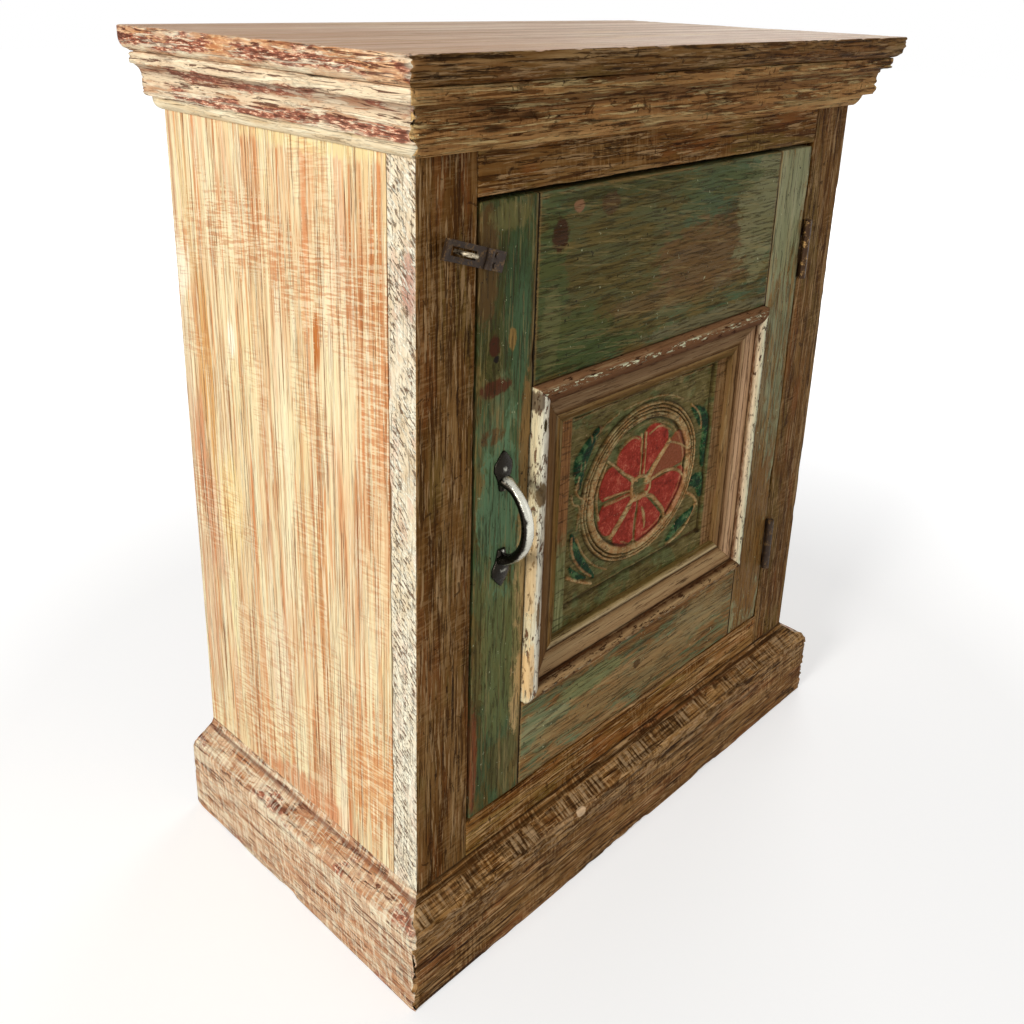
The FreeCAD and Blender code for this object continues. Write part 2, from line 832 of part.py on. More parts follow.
def hasp_spot(along, up):
    """Place on the front of the case of a point given along and across the tilted hasp."""
    return (hasp_x + along * hasp_cosine + up * hasp_sine, hasp_z - along * hasp_sine + up * hasp_cosine)


def add_knuckles(body, radius, height, middle, keeps_ends, plane, near_edge):
    """Adds a barrel round the body's z axis and clears it where the other leaf has its knuckles.

    The clearing is drawn on the named plane, from its near edge to past the barrel.
    """
    barrel = new_sketch(body, "XY", -height / 2)
    circle(barrel, 0, 0, radius)
    pad(body, barrel, height)
    room = radius + dim.knuckle_room
    span = room + radius + dim.overrun
    start = -radius - dim.overrun if near_edge == "low" else -room
    if keeps_ends:
        zones = [(-middle / 2 - dim.knuckle_gap, middle + 2 * dim.knuckle_gap)]
    else:
        zones = [(middle / 2, height), (-middle / 2 - height, height)]
    for bottom, tall in zones:
        away = new_sketch(body, plane, span)
        rectangle(away, start, bottom, span, tall)
        pocket(body, away, 2 * span)


def add_bore(body, radius, height):
    bore = new_sketch(body, "XY", -height / 2)
    circle(bore, 0, 0, radius)
    pocket(body, bore, height, reverse=True)


def hinge_leaf(name, centre, on_door):
    """One leaf of a butt hinge: a plate in the edge of the wood and its knuckles round the pin."""
    turn = FreeCAD.Rotation(FreeCAD.Vector(0, 1, 0), 180) if on_door else FreeCAD.Rotation()
    body = new_body(name, hinge_x, hinge_y, centre, turn)
    plate = new_sketch(body, "XY", -dim.hinge_height / 2)
    rectangle(plate, half_gap, 0, dim.leaf_thickness, hinge_reach + dim.leaf_width)
    pad(body, plate, dim.hinge_height)
    add_knuckles(body, dim.knuckle_radius, dim.hinge_height, hinge_middle, not on_door, "YZ", "low")
    add_bore(body, dim.pin_radius + dim.pin_clearance, dim.hinge_height)
    for side in (-1, 1):
        rings = []
        for radius, depth in (
            (dim.screw_head_radius, as_size(0)),
            (dim.screw_radius, dim.screw_head_height),
            (dim.screw_radius, dim.leaf_thickness + dim.overrun),
        ):
            ring = new_sketch(body, "YZ", half_gap + depth)
            octagon(ring, hinge_reach + dim.screw_row, side * dim.screw_spacing / 2,
                    radius + dim.screw_clearance)
            rings.append(ring)
        ruled_loft(body, rings, cut=True)


def countersunk_screw(name, x, y, z, turn):
    """A hand-cut wood screw: eight-sided head that narrows to its shank."""
    body = new_body(name, x, y, z, turn)
    rings = []
    for radius, depth in (
        (dim.screw_head_radius, as_size(0)),
        (dim.screw_radius, dim.screw_head_height),
        (dim.screw_radius, dim.screw_length),
    ):
        ring = new_sketch(body, "XY", depth)
        octagon(ring, as_size(0), as_size(0), radius)
        rings.append(ring)
    ruled_loft(body, rings)
    return body


def forged_pin(name, x, y, z, turn, head, shank):
    """An eight-sided bolt or nail: head and shank give (radius, length) to either side of its start."""
    body = new_body(name, x, y, z, turn)
    for (radius, length), backwards in ((head, True), (shank, False)):
        section = new_sketch(body, "XY")
        octagon(section, as_size(0), as_size(0), radius)
        pad(body, section, length, reverse=backwards)
    return body


def turned_pin(name, x, y, z, turn, profile):
    """A round pin: profile gives (radius, distance along it)."""
    body = new_body(name, x, y, z, turn)
    sketch = new_sketch(body, "XZ")
    outline(sketch, profile)
    feature = body.newObject("PartDesign::Revolution", name + "_turned")
    feature.Profile = sketch
    feature.ReferenceAxis = (sketch, ["V_Axis"])
    doc.recompute()
    return body


def group(name, members):
    """Puts identical fasteners in one node as separate solids."""
    compound = doc.addObject("Part::Compound", name)
    compound.Label = name
    compound.Links = members
    for member in members:
        NODES.remove(member)
    NODES.append(compound)
    doc.recompute()


def make_hinges(frame_stile, door_stile):
    """Two butt hinges let into the right edge of the door and the frame, with their screws."""
    for stile, width, base in ((frame_stile, as_size(0), as_size(0)),
                               (door_stile, dim.door_stile_right, door_bottom)):
        pilots = []
        for centre in hinge_centres:
            low = centre - base - dim.hinge_height / 2 - dim.recess_clearance
            cut_in_edge(stile, width, -dim.overrun, low,
                        dim.overrun + dim.leaf_width + dim.recess_clearance,
                        dim.hinge_height + 2 * dim.recess_clearance, dim.leaf_thickness)
            pilots += [centre - base + side * dim.screw_spacing / 2 for side in (-1, 1)]
        sketch = new_sketch(stile, "YZ", width)
        for z in pilots:
            octagon(sketch, dim.screw_row, z, dim.screw_radius + dim.screw_clearance)
        pocket(stile, sketch, dim.screw_length + dim.screw_clearance, reverse=width.text == "0")
    pin = [
        (0, -dim.hinge_height / 2),
        (dim.pin_radius, -dim.hinge_height / 2),
        (dim.pin_radius, dim.hinge_height / 2),
        (dim.pin_head_radius, dim.hinge_height / 2),
        (dim.pin_head_radius, dim.hinge_height / 2 + dim.pin_head_height),
        (0, dim.hinge_height / 2 + dim.pin_head_height),
    ]
    for level, centre in zip(("upper", "lower"), hinge_centres):
        hinge_leaf(level + "_hinge_frame_leaf", centre, False)
        hinge_leaf(level + "_hinge_door_leaf", centre, True)
        turned_pin(level + "_hinge_pin", hinge_x, hinge_y, centre, FreeCAD.Rotation(), pin)
    for owner, sign in (("frame", 1), ("door", -1)):
        turn = FreeCAD.Rotation(FreeCAD.Vector(0, 1, 0), sign * 90)
        screws = []
        for centre in hinge_centres:
            for side in (-1, 1):
                screws.append(countersunk_screw("%s_screw_%d" % (owner, len(screws) + 1),
                                                hinge_x + sign * half_gap, front + dim.screw_row,
                                                centre + side * dim.screw_spacing / 2, turn))
        group("hinge_screws_" + owner, screws)


def handle_foot(sketch, up):
    """Leaf-shaped foot of the pull handle; up is 1 for the upper foot and -1 for the lower."""
    turn_in, turn_out = ("right", "left") if up == 1 else ("left", "right")
    root = up * dim.foot_root
    shoulder = up * dim.foot_shoulder
    outline(sketch, [
        (-dim.foot_root_half_width, root),
        (dim.foot_root_half_width, root, dim.foot_root_round, turn_in),
        (dim.foot_half_width, shoulder, dim.foot_tip_round, turn_out),
        (0, up * dim.foot_tip, dim.foot_tip_round, turn_out),
        (-dim.foot_half_width, shoulder, dim.foot_root_round, turn_in),
    ])


def make_pull_handle(door_stile):
    """Cast bow handle on two leaf-shaped feet, bolted through the door from inside."""
    body = new_body("pull_handle", handle_x, front, handle_z)
    rise = dim.handle_projection - dim.handle_grip_radius - dim.foot_thickness / 2
    bow = bow_radius(2 * dim.handle_foot_centre, rise)
    half_turn = arcsine(dim.handle_foot_centre / bow)
    rings = []
    for share in (-1, -3 / 4, -1 / 2, -1 / 4, 0, 1 / 4, 1 / 2, 3 / 4, 1):
        angle = share * half_turn
        ring = new_sketch(body, "XY")
        tilt = FreeCAD.Rotation(FreeCAD.Vector(1, 0, 0), -angle.value)
        ring.AttachmentOffset = FreeCAD.Placement(FreeCAD.Vector(), tilt)
        bind(ring, "AttachmentOffset.Base.y", bow - rise - dim.foot_thickness / 2 - bow * cosine(angle))
        bind(ring, "AttachmentOffset.Base.z", bow * sine(angle))
        swell = dim.handle_grip_radius - dim.handle_neck_radius
        octagon(ring, as_size(0), as_size(0), dim.handle_neck_radius + swell * cosine(angle))
        rings.append(ring)
    ruled_loft(body, rings)
    for up in (1, -1):
        foot = new_sketch(body, "XZ")
        handle_foot(foot, up)
        pad(body, foot, dim.foot_thickness)
    holes = new_sketch(body, "XZ")
    for side in (-1, 1):
        octagon(holes, as_size(0), side * dim.handle_foot_centre, dim.bolt_radius + dim.screw_clearance)
    pocket(body, holes, dim.bolt_reach + dim.screw_clearance, reverse=True)
    through = new_sketch(door_stile, "XZ")
    for side in (-1, 1):
        octagon(through, dim.handle_from_edge,
                handle_z - door_bottom + side * dim.handle_foot_centre,
                dim.bolt_radius + dim.screw_clearance)
    pocket(door_stile, through, door_thickness)
    head = (dim.bolt_head_radius, dim.bolt_head_height)
    shank = (dim.bolt_radius, door_thickness + dim.bolt_reach)
    turn = FreeCAD.Rotation(FreeCAD.Vector(1, 0, 0), 90)
    bolts = []
    for side in (-1, 1):
        bolts.append(forged_pin("handle_bolt_%d" % (len(bolts) + 1), handle_x, front + door_thickness,
                                handle_z + side * dim.handle_foot_centre, turn, head, shank))
    group("handle_screws", bolts)


def make_hasp(frame_stile, door_stile):
    """Tilted hasp: a plate nailed to the door, a slotted strap on a pin, and a wire staple."""
    radius = dim.hasp_knuckle_radius
    face = dim.hasp_axis_proud
    plate = new_body("hasp_plate", hasp_x, hasp_y, hasp_z, hasp_turn)
    section = new_sketch(plate, "XY", -dim.strap_width / 2)
    rectangle(section, 0, face - dim.plate_thickness, radius + dim.plate_length, dim.plate_thickness)
    pad(plate, section, dim.strap_width)
    add_knuckles(plate, radius, dim.strap_width, strap_middle, True, "XZ", "low")
    add_bore(plate, dim.hasp_pin_radius + dim.pin_clearance, dim.strap_width)
    holes = new_sketch(plate, "XZ", -face)
    for side in (-1, 1):
        octagon(holes, dim.nail_from_axis, side * dim.nail_spacing / 2,
                dim.nail_radius + dim.screw_clearance)
    pocket(plate, holes, dim.plate_thickness, reverse=True)

    strap = new_body("hasp_strap", hasp_x, hasp_y, hasp_z, hasp_turn)
    rear = face - dim.strap_stand_off
    lip = dim.strap_lip
    bend = lip - dim.strap_length
    section = new_sketch(strap, "XY", -dim.strap_width / 2)
    outline(section, [
        (0, rear),
        (bend, rear, lip, "left"),
        (-dim.strap_length, rear - lip),
        (dim.strap_thickness - dim.strap_length, rear - lip, lip - dim.strap_thickness, "right"),
        (bend, rear - dim.strap_thickness),
        (0, rear - dim.strap_thickness),
    ])
    pad(strap, section, dim.strap_width)
    add_knuckles(strap, radius, dim.strap_width, strap_middle, False, "XZ", "room")
    add_bore(strap, dim.hasp_pin_radius + dim.pin_clearance, dim.strap_width)
    slot = new_sketch(strap, "XZ", -face)
    rectangle(slot, -dim.slot_near - dim.slot_length, -dim.slot_width / 2,
              dim.slot_length, dim.slot_width)
    pocket(strap, slot, face + lip, reverse=True)

    turned_pin("hasp_pin", hasp_x, hasp_y, hasp_z, hasp_turn, [
        (0, -dim.strap_width / 2),
        (dim.hasp_pin_radius, -dim.strap_width / 2),
        (dim.hasp_pin_radius, dim.strap_width / 2),
        (0, dim.strap_width / 2),
    ])

    turn = FreeCAD.Rotation(FreeCAD.Vector(1, 0, 0), -90)
    pilots = new_sketch(door_stile, "XZ")
    nails = []
    for side in (-1, 1):
        x, z = hasp_spot(dim.nail_from_axis, side * dim.nail_spacing / 2)
        octagon(pilots, x - door_left, z - door_bottom, dim.nail_radius + dim.screw_clearance)
        nails.append(forged_pin("hasp_nail_%d" % (len(nails) + 1), x, front - dim.plate_thickness, z,
                                turn, (dim.nail_head_radius, dim.nail_head_height),
                                (dim.nail_radius, dim.nail_length)))
    pocket(door_stile, pilots, dim.nail_length)
    group("hasp_nails", nails)

    spread = dim.staple_spread / 2
    x, z = hasp_spot(-dim.staple_centre, as_size(0))
    bend_y = spread - dim.staple_projection
    staple = new_body("latch_staple", x, front + bend_y, z, hasp_turn)
    wire = new_sketch(staple, "XZ")
    octagon(wire, spread, as_size(0), dim.staple_wire_radius)
    doc.recompute()
    crown = staple.newObject("PartDesign::Revolution", "staple_crown")
    crown.Profile = wire
    crown.ReferenceAxis = (wire, ["V_Axis"])
    crown.Angle = 180
    crown.Reversed = True
    doc.recompute()
    legs = new_sketch(staple, "XZ")
    for side in (-1, 1):
        octagon(legs, side * spread, as_size(0), dim.staple_wire_radius)
    pad(staple, legs, dim.staple_embed - bend_y, reverse=True)
    sockets = new_sketch(frame_stile, "XZ")
    for side in (-1, 1):
        x, z = hasp_spot(side * spread - dim.staple_centre, as_size(0))
        circle(sockets, x - left, z, dim.staple_wire_radius + dim.screw_clearance)
    pocket(frame_stile, sockets, dim.staple_embed + dim.screw_clearance)


make_top_board()
make_round_the_case("cornice", crown_section(), dim.crown_projection, crown_bottom)
make_round_the_case("bed_bead", bead_section(), dim.bead_projection, bead_bottom)
make_round_the_case("plinth", plinth_section(), dim.plinth_thickness, as_size(0))
make_case()
frame_stiles = make_face_frame()
door_stiles = make_door_frame()
make_carved_panel()
make_panel_moulding()
make_hinges(frame_stiles[1], door_stiles[1])
make_pull_handle(door_stiles[0])
make_hasp(frame_stiles[0], door_stiles[0])

doc.recompute()
for thing in doc.Objects:
    if "Invalid" in thing.State or "Error" in thing.State:
        raise RuntimeError("%s failed" % thing.Label)
os.makedirs("parts", exist_ok=True)
for node in NODES:
    if node.Shape.isNull() or not node.Shape.isValid():
        raise RuntimeError("%s has no sound shape" % node.Label)
    node.Shape.exportStep("parts/%s.step" % node.Label)
print("%d pieces" % len(NODES))
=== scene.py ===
import itertools
import math

import bpy
import numpy as np
from mathutils import Matrix, Vector

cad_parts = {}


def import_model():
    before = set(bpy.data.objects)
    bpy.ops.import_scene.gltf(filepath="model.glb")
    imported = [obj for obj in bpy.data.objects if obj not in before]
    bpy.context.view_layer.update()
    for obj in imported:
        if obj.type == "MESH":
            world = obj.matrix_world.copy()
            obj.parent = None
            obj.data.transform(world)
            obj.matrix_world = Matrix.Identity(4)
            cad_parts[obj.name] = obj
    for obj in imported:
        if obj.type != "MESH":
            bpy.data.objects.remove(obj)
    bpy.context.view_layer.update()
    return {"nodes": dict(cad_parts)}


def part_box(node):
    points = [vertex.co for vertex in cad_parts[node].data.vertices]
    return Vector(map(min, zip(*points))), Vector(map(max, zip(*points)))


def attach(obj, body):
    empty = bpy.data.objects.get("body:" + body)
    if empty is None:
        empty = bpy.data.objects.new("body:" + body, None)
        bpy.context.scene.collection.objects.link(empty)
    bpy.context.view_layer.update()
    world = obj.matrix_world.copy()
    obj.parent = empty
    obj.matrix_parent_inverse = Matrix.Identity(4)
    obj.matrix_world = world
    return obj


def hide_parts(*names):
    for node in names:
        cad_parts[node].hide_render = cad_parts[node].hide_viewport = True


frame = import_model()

MM = 0.001

# The cabinet's faces in millimetres: X to the right, Y to the back, Z up

SIDE = 245
FRONT = -117.5
BACK = 147.5
FRAME_BACK = -92.5
DOOR_BACK = -93
PANEL_FACE = -109.5
TOP_SIDE = 275
TOP_FRONT = -147.5
TOP_HIGH = 650
TOP_LOW = 633
CORNICE_LOW = 603
BEAD_LOW = 593
RAIL_LEFT = -143.5
RAIL_RIGHT = 143

RIGHTWARD, LEFTWARD = (1, 0, 0), (-1, 0, 0)
REARWARD, FORWARD = (0, 1, 0), (0, -1, 0)
UPWARD, DOWNWARD = (0, 0, 1), (0, 0, -1)


# Repeatable noise for the wear of the meshes

def lattice(cells, seed):
    """A repeatable number from 0 to 1 for each whole-numbered cell."""
    x, y, z = (cells[..., k].astype(np.int64) for k in range(3))
    mixed = (x * 73856093) ^ (y * 19349663) ^ (z * 83492791) ^ (seed * 2654435)
    mixed = ((mixed & 0xFFFFFFFF) ^ ((mixed & 0xFFFFFFFF) >> 13)) * 1274126177
    mixed = (mixed & 0xFFFFFFFF) ^ ((mixed & 0xFFFFFFFF) >> 16)
    return (mixed & 0xFFFF) / 65535.0


def noise(points, size, seed=0):
    """Smooth noise from -1 to 1 whose cells measure size, one number or one for each axis."""
    places = points / np.broadcast_to(np.asarray(size, float), (3,)) + 0.37 * seed
    base = np.floor(places)
    part = places - base
    part = part * part * (3 - 2 * part)
    total = np.zeros(points.shape[:-1])
    for corner in itertools.product((0, 1), repeat=3):
        weight = np.prod(np.where(np.array(corner) == 1, part, 1 - part), axis=-1)
        total += weight * lattice(base + np.array(corner), seed)
    return total * 2 - 1


def layered(points, size, seed):
    """Three layers of noise, each half as large and half as strong as the one before."""
    size = np.broadcast_to(np.asarray(size, float), (3,))
    return sum(noise(points, size / 2 ** k, seed + k) / 2 ** k for k in range(3)) / 1.6


def smooth(low, high, value):
    """0 at low, 1 at high and eased between them; low above high turns it round."""
    share = np.clip((value - low) / (high - low), 0, 1)
    return share * share * (3 - 2 * share)


def corner_noise(places, seed):
    """How deep the notches of a worn corner are along its height, and how far the corner sways sideways."""
    heights = places * np.array(UPWARD)
    notches = noise(heights, 3.4, seed) + 0.6 * noise(heights, 1.5, seed + 1) + 0.5 * noise(places, 2.2,
                                                                                            seed + 2)
    sway = noise(heights, 3.1, seed + 4) + 0.8 * noise(heights, 1.3, seed + 5)
    return 0.2 + 0.8 * smooth(-0.35, 0.5, notches), sway


# Meshes

def arc(centre, radius, start, end, count):
    turns = np.radians(np.linspace(start, end, count))
    return [(centre[0] + radius * math.cos(t), centre[1] + radius * math.sin(t)) for t in turns]


def quads(rows, columns, closed=False, start=0):
    """Faces (a, b, c, d) over a grid of points: a and b lie in one row, c and d in the next."""
    faces = []
    for row in range(rows - 1):
        for column in range(columns if closed else columns - 1):
            a = start + row * columns + column
            b = start + row * columns + (column + 1) % columns
            faces.append((a, b, b + columns, a + columns))
    return faces


def border(rows, columns):
    """The points round the edge of a grid, first along its first row."""
    return ([k for k in range(columns)] + [row * columns + columns - 1 for row in range(1, rows)]
            + [(rows - 1) * columns + k for k in range(columns - 2, -1, -1)]
            + [row * columns for row in range(rows - 2, 0, -1)])


def new_object(name, data):
    piece = bpy.data.objects.new(name, data)
    bpy.context.scene.collection.objects.link(piece)
    return piece


def new_piece(name, node, body, materials, points, faces, kinds, fields):
    """A visible piece in place of a CAD node; points in millimetres, kinds say which material a face has."""
    mesh = bpy.data.meshes.new(name)
    mesh.from_pydata([tuple(p) for p in np.asarray(points) * MM], [], faces)
    mesh.update()
    piece = new_object(name, mesh)
    for material in materials:
        mesh.materials.append(material)
    mesh.polygons.foreach_set("material_index", kinds)
    mesh.polygons.foreach_set("use_smooth", [True] * len(faces))
    for field, values in fields.items():
        layer = mesh.attributes.new(field, "FLOAT", "POINT")
        layer.data.foreach_set("value", np.asarray(values, dtype=np.float32))
    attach(piece, body)
    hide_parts(node)


def dense(section, spacing, hidden):
    """Section points no more than spacing apart, apart from the runs that something else covers."""
    result = []
    for a, b in zip(section, section[1:] + section[:1]):
        span = math.dist(a, b)
        if span < 1e-6:
            continue
        covered = hidden(a) and hidden(b)
        steps = 1 if covered else max(1, round(span / spacing))
        result += [(a[0] + (b[0] - a[0]) * k / steps, a[1] + (b[1] - a[1]) * k / steps) for k in range(steps)]
    return np.array(result)


def eased(ring, reach):
    """A closed section with its corners worn round over about reach, its normals, and how sharp it was."""
    after = np.roll(ring, -1, axis=0)
    before = np.roll(ring, 1, axis=0)
    step = np.linalg.norm(after - ring, axis=1)
    run = np.concatenate([[0], np.cumsum(step)])
    total = run[-1]
    places = run[:-1]
    gap = np.abs(places[:, None] - places[None, :])
    gap = np.minimum(gap, total - gap)
    weight = np.exp(-(gap / reach) ** 2 / 2) * (step + np.roll(step, 1))[None, :]
    weight /= weight.sum(axis=1, keepdims=True)
    soft = weight @ ring
    tangent = after - before
    normal = np.stack([tangent[:, 1], -tangent[:, 0]], axis=1)
    normal /= np.maximum(np.linalg.norm(normal, axis=1, keepdims=True), 1e-9)
    if np.sum(ring[:, 0] * after[:, 1] - after[:, 0] * ring[:, 1]) < 0:
        normal = -normal
    sharp = np.sum((ring - soft) * normal, axis=1)
    return soft, normal, sharp


NEAR_END = (0.7, 1.4, 2.1, 2.9, 3.8, 4.8, 6.0)
EDGE_REACH = 2.6
CORNER_REACH = 5.5
CORNER_WEAR = 2.6


def sweep(name, node, body, slot_name, materials, section, origin, along, out, up, length,
          step=2.2, spacing=1.3, mitre=(0, 0), wear=1.0, ripple=0.12, seed=1, hidden=None, second=None,
          corner=(0, 0), blunt=0.0, round_by=0.8, grain=9.0, cracks=0.0):
    """A section (millimetres: outwards, up) run along a straight line and worn back at its edges.

    mitre says how far each end grows per millimetre outwards; corner marks the ends that meet a neighbour on
    an outside corner, where both wear back together. second is the direction of the faces with the second finish."""
    hidden = hidden or (lambda point: False)
    ring = dense([tuple(point) for point in section], spacing, hidden)
    soft, normal, _ = eased(ring, round_by)
    _, _, sharp = eased(ring, EDGE_REACH)
    covered = np.array([hidden(tuple(point)) for point in ring])
    crest = np.where(covered, 0, smooth(0.05, 0.8, sharp))
    # hollow marks the concave places of the section, where the finishes paint shade.
    hollow = np.where(covered, 0, smooth(0.05, 0.7, -sharp))
    ring = np.where(covered[:, None], ring, soft)
    along, out, up, origin = (np.array(v, float) for v in (along, out, up, origin))
    marks = list(np.linspace(0, length, max(3, round(length / step) + 1)))
    marks += NEAR_END if corner[0] else []
    marks += [length - mark for mark in NEAR_END] if corner[1] else []
    share = np.unique(np.round(marks, 3)) / length
    count = len(share)
    around = len(ring)
    start = mitre[0] * ring[:, 0]
    end = length + mitre[1] * ring[:, 0]
    run = start[None, :] + (end - start)[None, :] * share[:, None]
    places = (origin[None, None, :] + along * run[..., None] + out * ring[None, :, :1]
              + up * ring[None, :, 1:2])
    facing = np.broadcast_to(out * normal[:, :1] + up * normal[:, 1:], places.shape)
    line = np.abs(along)
    stretch = 1 + (grain - 1) * line
    rough = layered(places, 2.6 * stretch, seed)
    coarse = noise(places, 9 * stretch, seed + 11)
    chip = smooth(0.05, 0.55, rough + 0.55 * coarse) * crest[None, :]
    fine = noise(places, 1.4 * stretch, seed + 23)
    open_face = np.where(covered, 0, 1)[None, :]
    split = layered(places, 1.9 * (1 + 15 * line), seed + 31) + 0.35 * noise(places, 5 * (1 + 5 * line),
                                                                             seed + 37)
    crack = smooth(0.16, 0.42, split) * open_face * min(1, cracks * 9)
    depth = wear * chip + (ripple * (0.5 + 0.5 * fine) + cracks * crack) * open_face
    shift = -facing * depth[..., None]
    for side, sign in ((0, -1), (1, 1)):
        if corner[side]:
            from_end = run - start[None, :] if side == 0 else end[None, :] - run
            near = np.clip(1 - from_end / CORNER_REACH, 0, 1)[..., None] ** 1.4
            notch, sway = corner_noise(places, 77)
            bare = np.where(covered | (normal[:, 1] < -0.9), 0, 1)[None, :]
            diagonal = (out + sign * along) / math.sqrt(2)
            sideways = (along - sign * out) / math.sqrt(2)
            shift = (shift * (1 - near) - diagonal * (near * (notch * CORNER_WEAR * bare)[..., None])
                     + sideways * (near * (sway * 0.75 * CORNER_WEAR * bare)[..., None]))
            chip = np.maximum(chip, near[..., 0] * notch * bare)
    places = places + shift
    if blunt:
        middle = ring.mean(axis=0)
        for index, following, sign in ((0, 1, 1), (count - 1, count - 2, -1)):
            centre = origin + along * run[index].mean() + out * middle[0] + up * middle[1]
            toward = centre - places[index]
            distance = np.maximum(np.linalg.norm(toward, axis=1, keepdims=True), 1e-6)
            places[following] = places[index] + sign * along * blunt
            places[index] = places[index] + toward / distance * np.minimum(distance, blunt)
    flip = np.dot(np.cross(along, out), up) > 0
    if np.sum(ring[:, 0] * np.roll(ring[:, 1], -1) - np.roll(ring[:, 0], -1) * ring[:, 1]) < 0:
        flip = not flip
    faces = [face if flip else face[::-1] for face in quads(count, around, closed=True)]
    first = list(range(around))
    last = [(count - 1) * around + k for k in first]
    faces += [first[::-1], last] if flip else [first, last[::-1]]
    other = np.zeros(around, int)
    if second is not None:
        edge_normal = normal + np.roll(normal, -1, axis=0)
        edge_normal /= np.maximum(np.linalg.norm(edge_normal, axis=1, keepdims=True), 1e-9)
        looks = out * edge_normal[:, :1] + up * edge_normal[:, 1:]
        other = (looks @ np.array(second, float) > 0.62).astype(int)
    kinds = other.tolist() * (count - 1) + [0, 0]
    fields = {"chip": chip.ravel(), "crack": crack.ravel(),
              "hollow": np.broadcast_to(hollow[None, :], chip.shape).ravel(),
              "across": np.broadcast_to(ring[None, :, 0], chip.shape).ravel() * MM}
    new_piece(name, node, body, materials, places.reshape(-1, 3), faces, kinds, fields)


PLANK_EDGE = (0.5, 1.0, 1.6, 2.4, 4, 7, 12)


def plank(name, node, body, slot_name, materials, low, high, axis, **settings):
    """A worn board between two corners (millimetres), its length along axis."""
    low = np.array(low, float)
    size = np.array(high, float) - low
    first, other = [k for k in range(3) if k != axis]
    wide, tall = size[first], size[other]
    directions = np.eye(3)
    section = []
    for side, length in enumerate((wide, tall, wide, tall)):
        marks = {0, *PLANK_EDGE} | {length - mark for mark in PLANK_EDGE}
        marks |= set(np.linspace(0, length, max(2, int(length / 14))))
        for mark in sorted(m for m in marks if 0 <= m < length):
            section.append(((mark, 0), (wide, mark), (wide - mark, tall), (0, tall - mark))[side])
    sweep(name, node, body, slot_name, materials, section, low, directions[axis], directions[first],
          directions[other], size[axis], spacing=100, blunt=0.7, **settings)


# Node materials

SHADE_GAIN = 2.1
TOP_GAIN = 1.5


def tint(red, green, blue, light=1.0):
    """An sRGB colour from 0 to 255 as linear light."""
    values = []
    for value in (red, green, blue):
        value /= 255
        linear = value / 12.92 if value <= 0.04045 else ((value + 0.055) / 1.055) ** 2.4
        values.append(min(linear * light, 0.95))
    return (*values, 1.0)


def shaded(red, green, blue):
    """The colour of a front surface, which the photograph shows in shade."""
    return tint(red, green, blue, SHADE_GAIN)


def put(tree, socket, value):
    """Links a socket to another one's value, or sets it."""
    if isinstance(value, bpy.types.NodeSocket):
        tree.links.new(value, socket)
    else:
        socket.default_value = value


def add_node(tree, kind, inputs=None, **settings):
    node = tree.nodes.new(kind)
    for key, value in settings.items():
        setattr(node, key, value)
    for key, value in (inputs or {}).items():
        put(tree, node.inputs[key], value)
    return node


def along_axis(axis, across, length):
    """A noise cell stretched along one axis, in millimetres."""
    size = [across] * 3
    size["xyz".index(axis)] = length
    return tuple(size)


def across_axis(axis, thin, wide):
    """A noise cell that is thin along one axis and wide across it: saw marks."""
    return along_axis(axis, wide, thin)


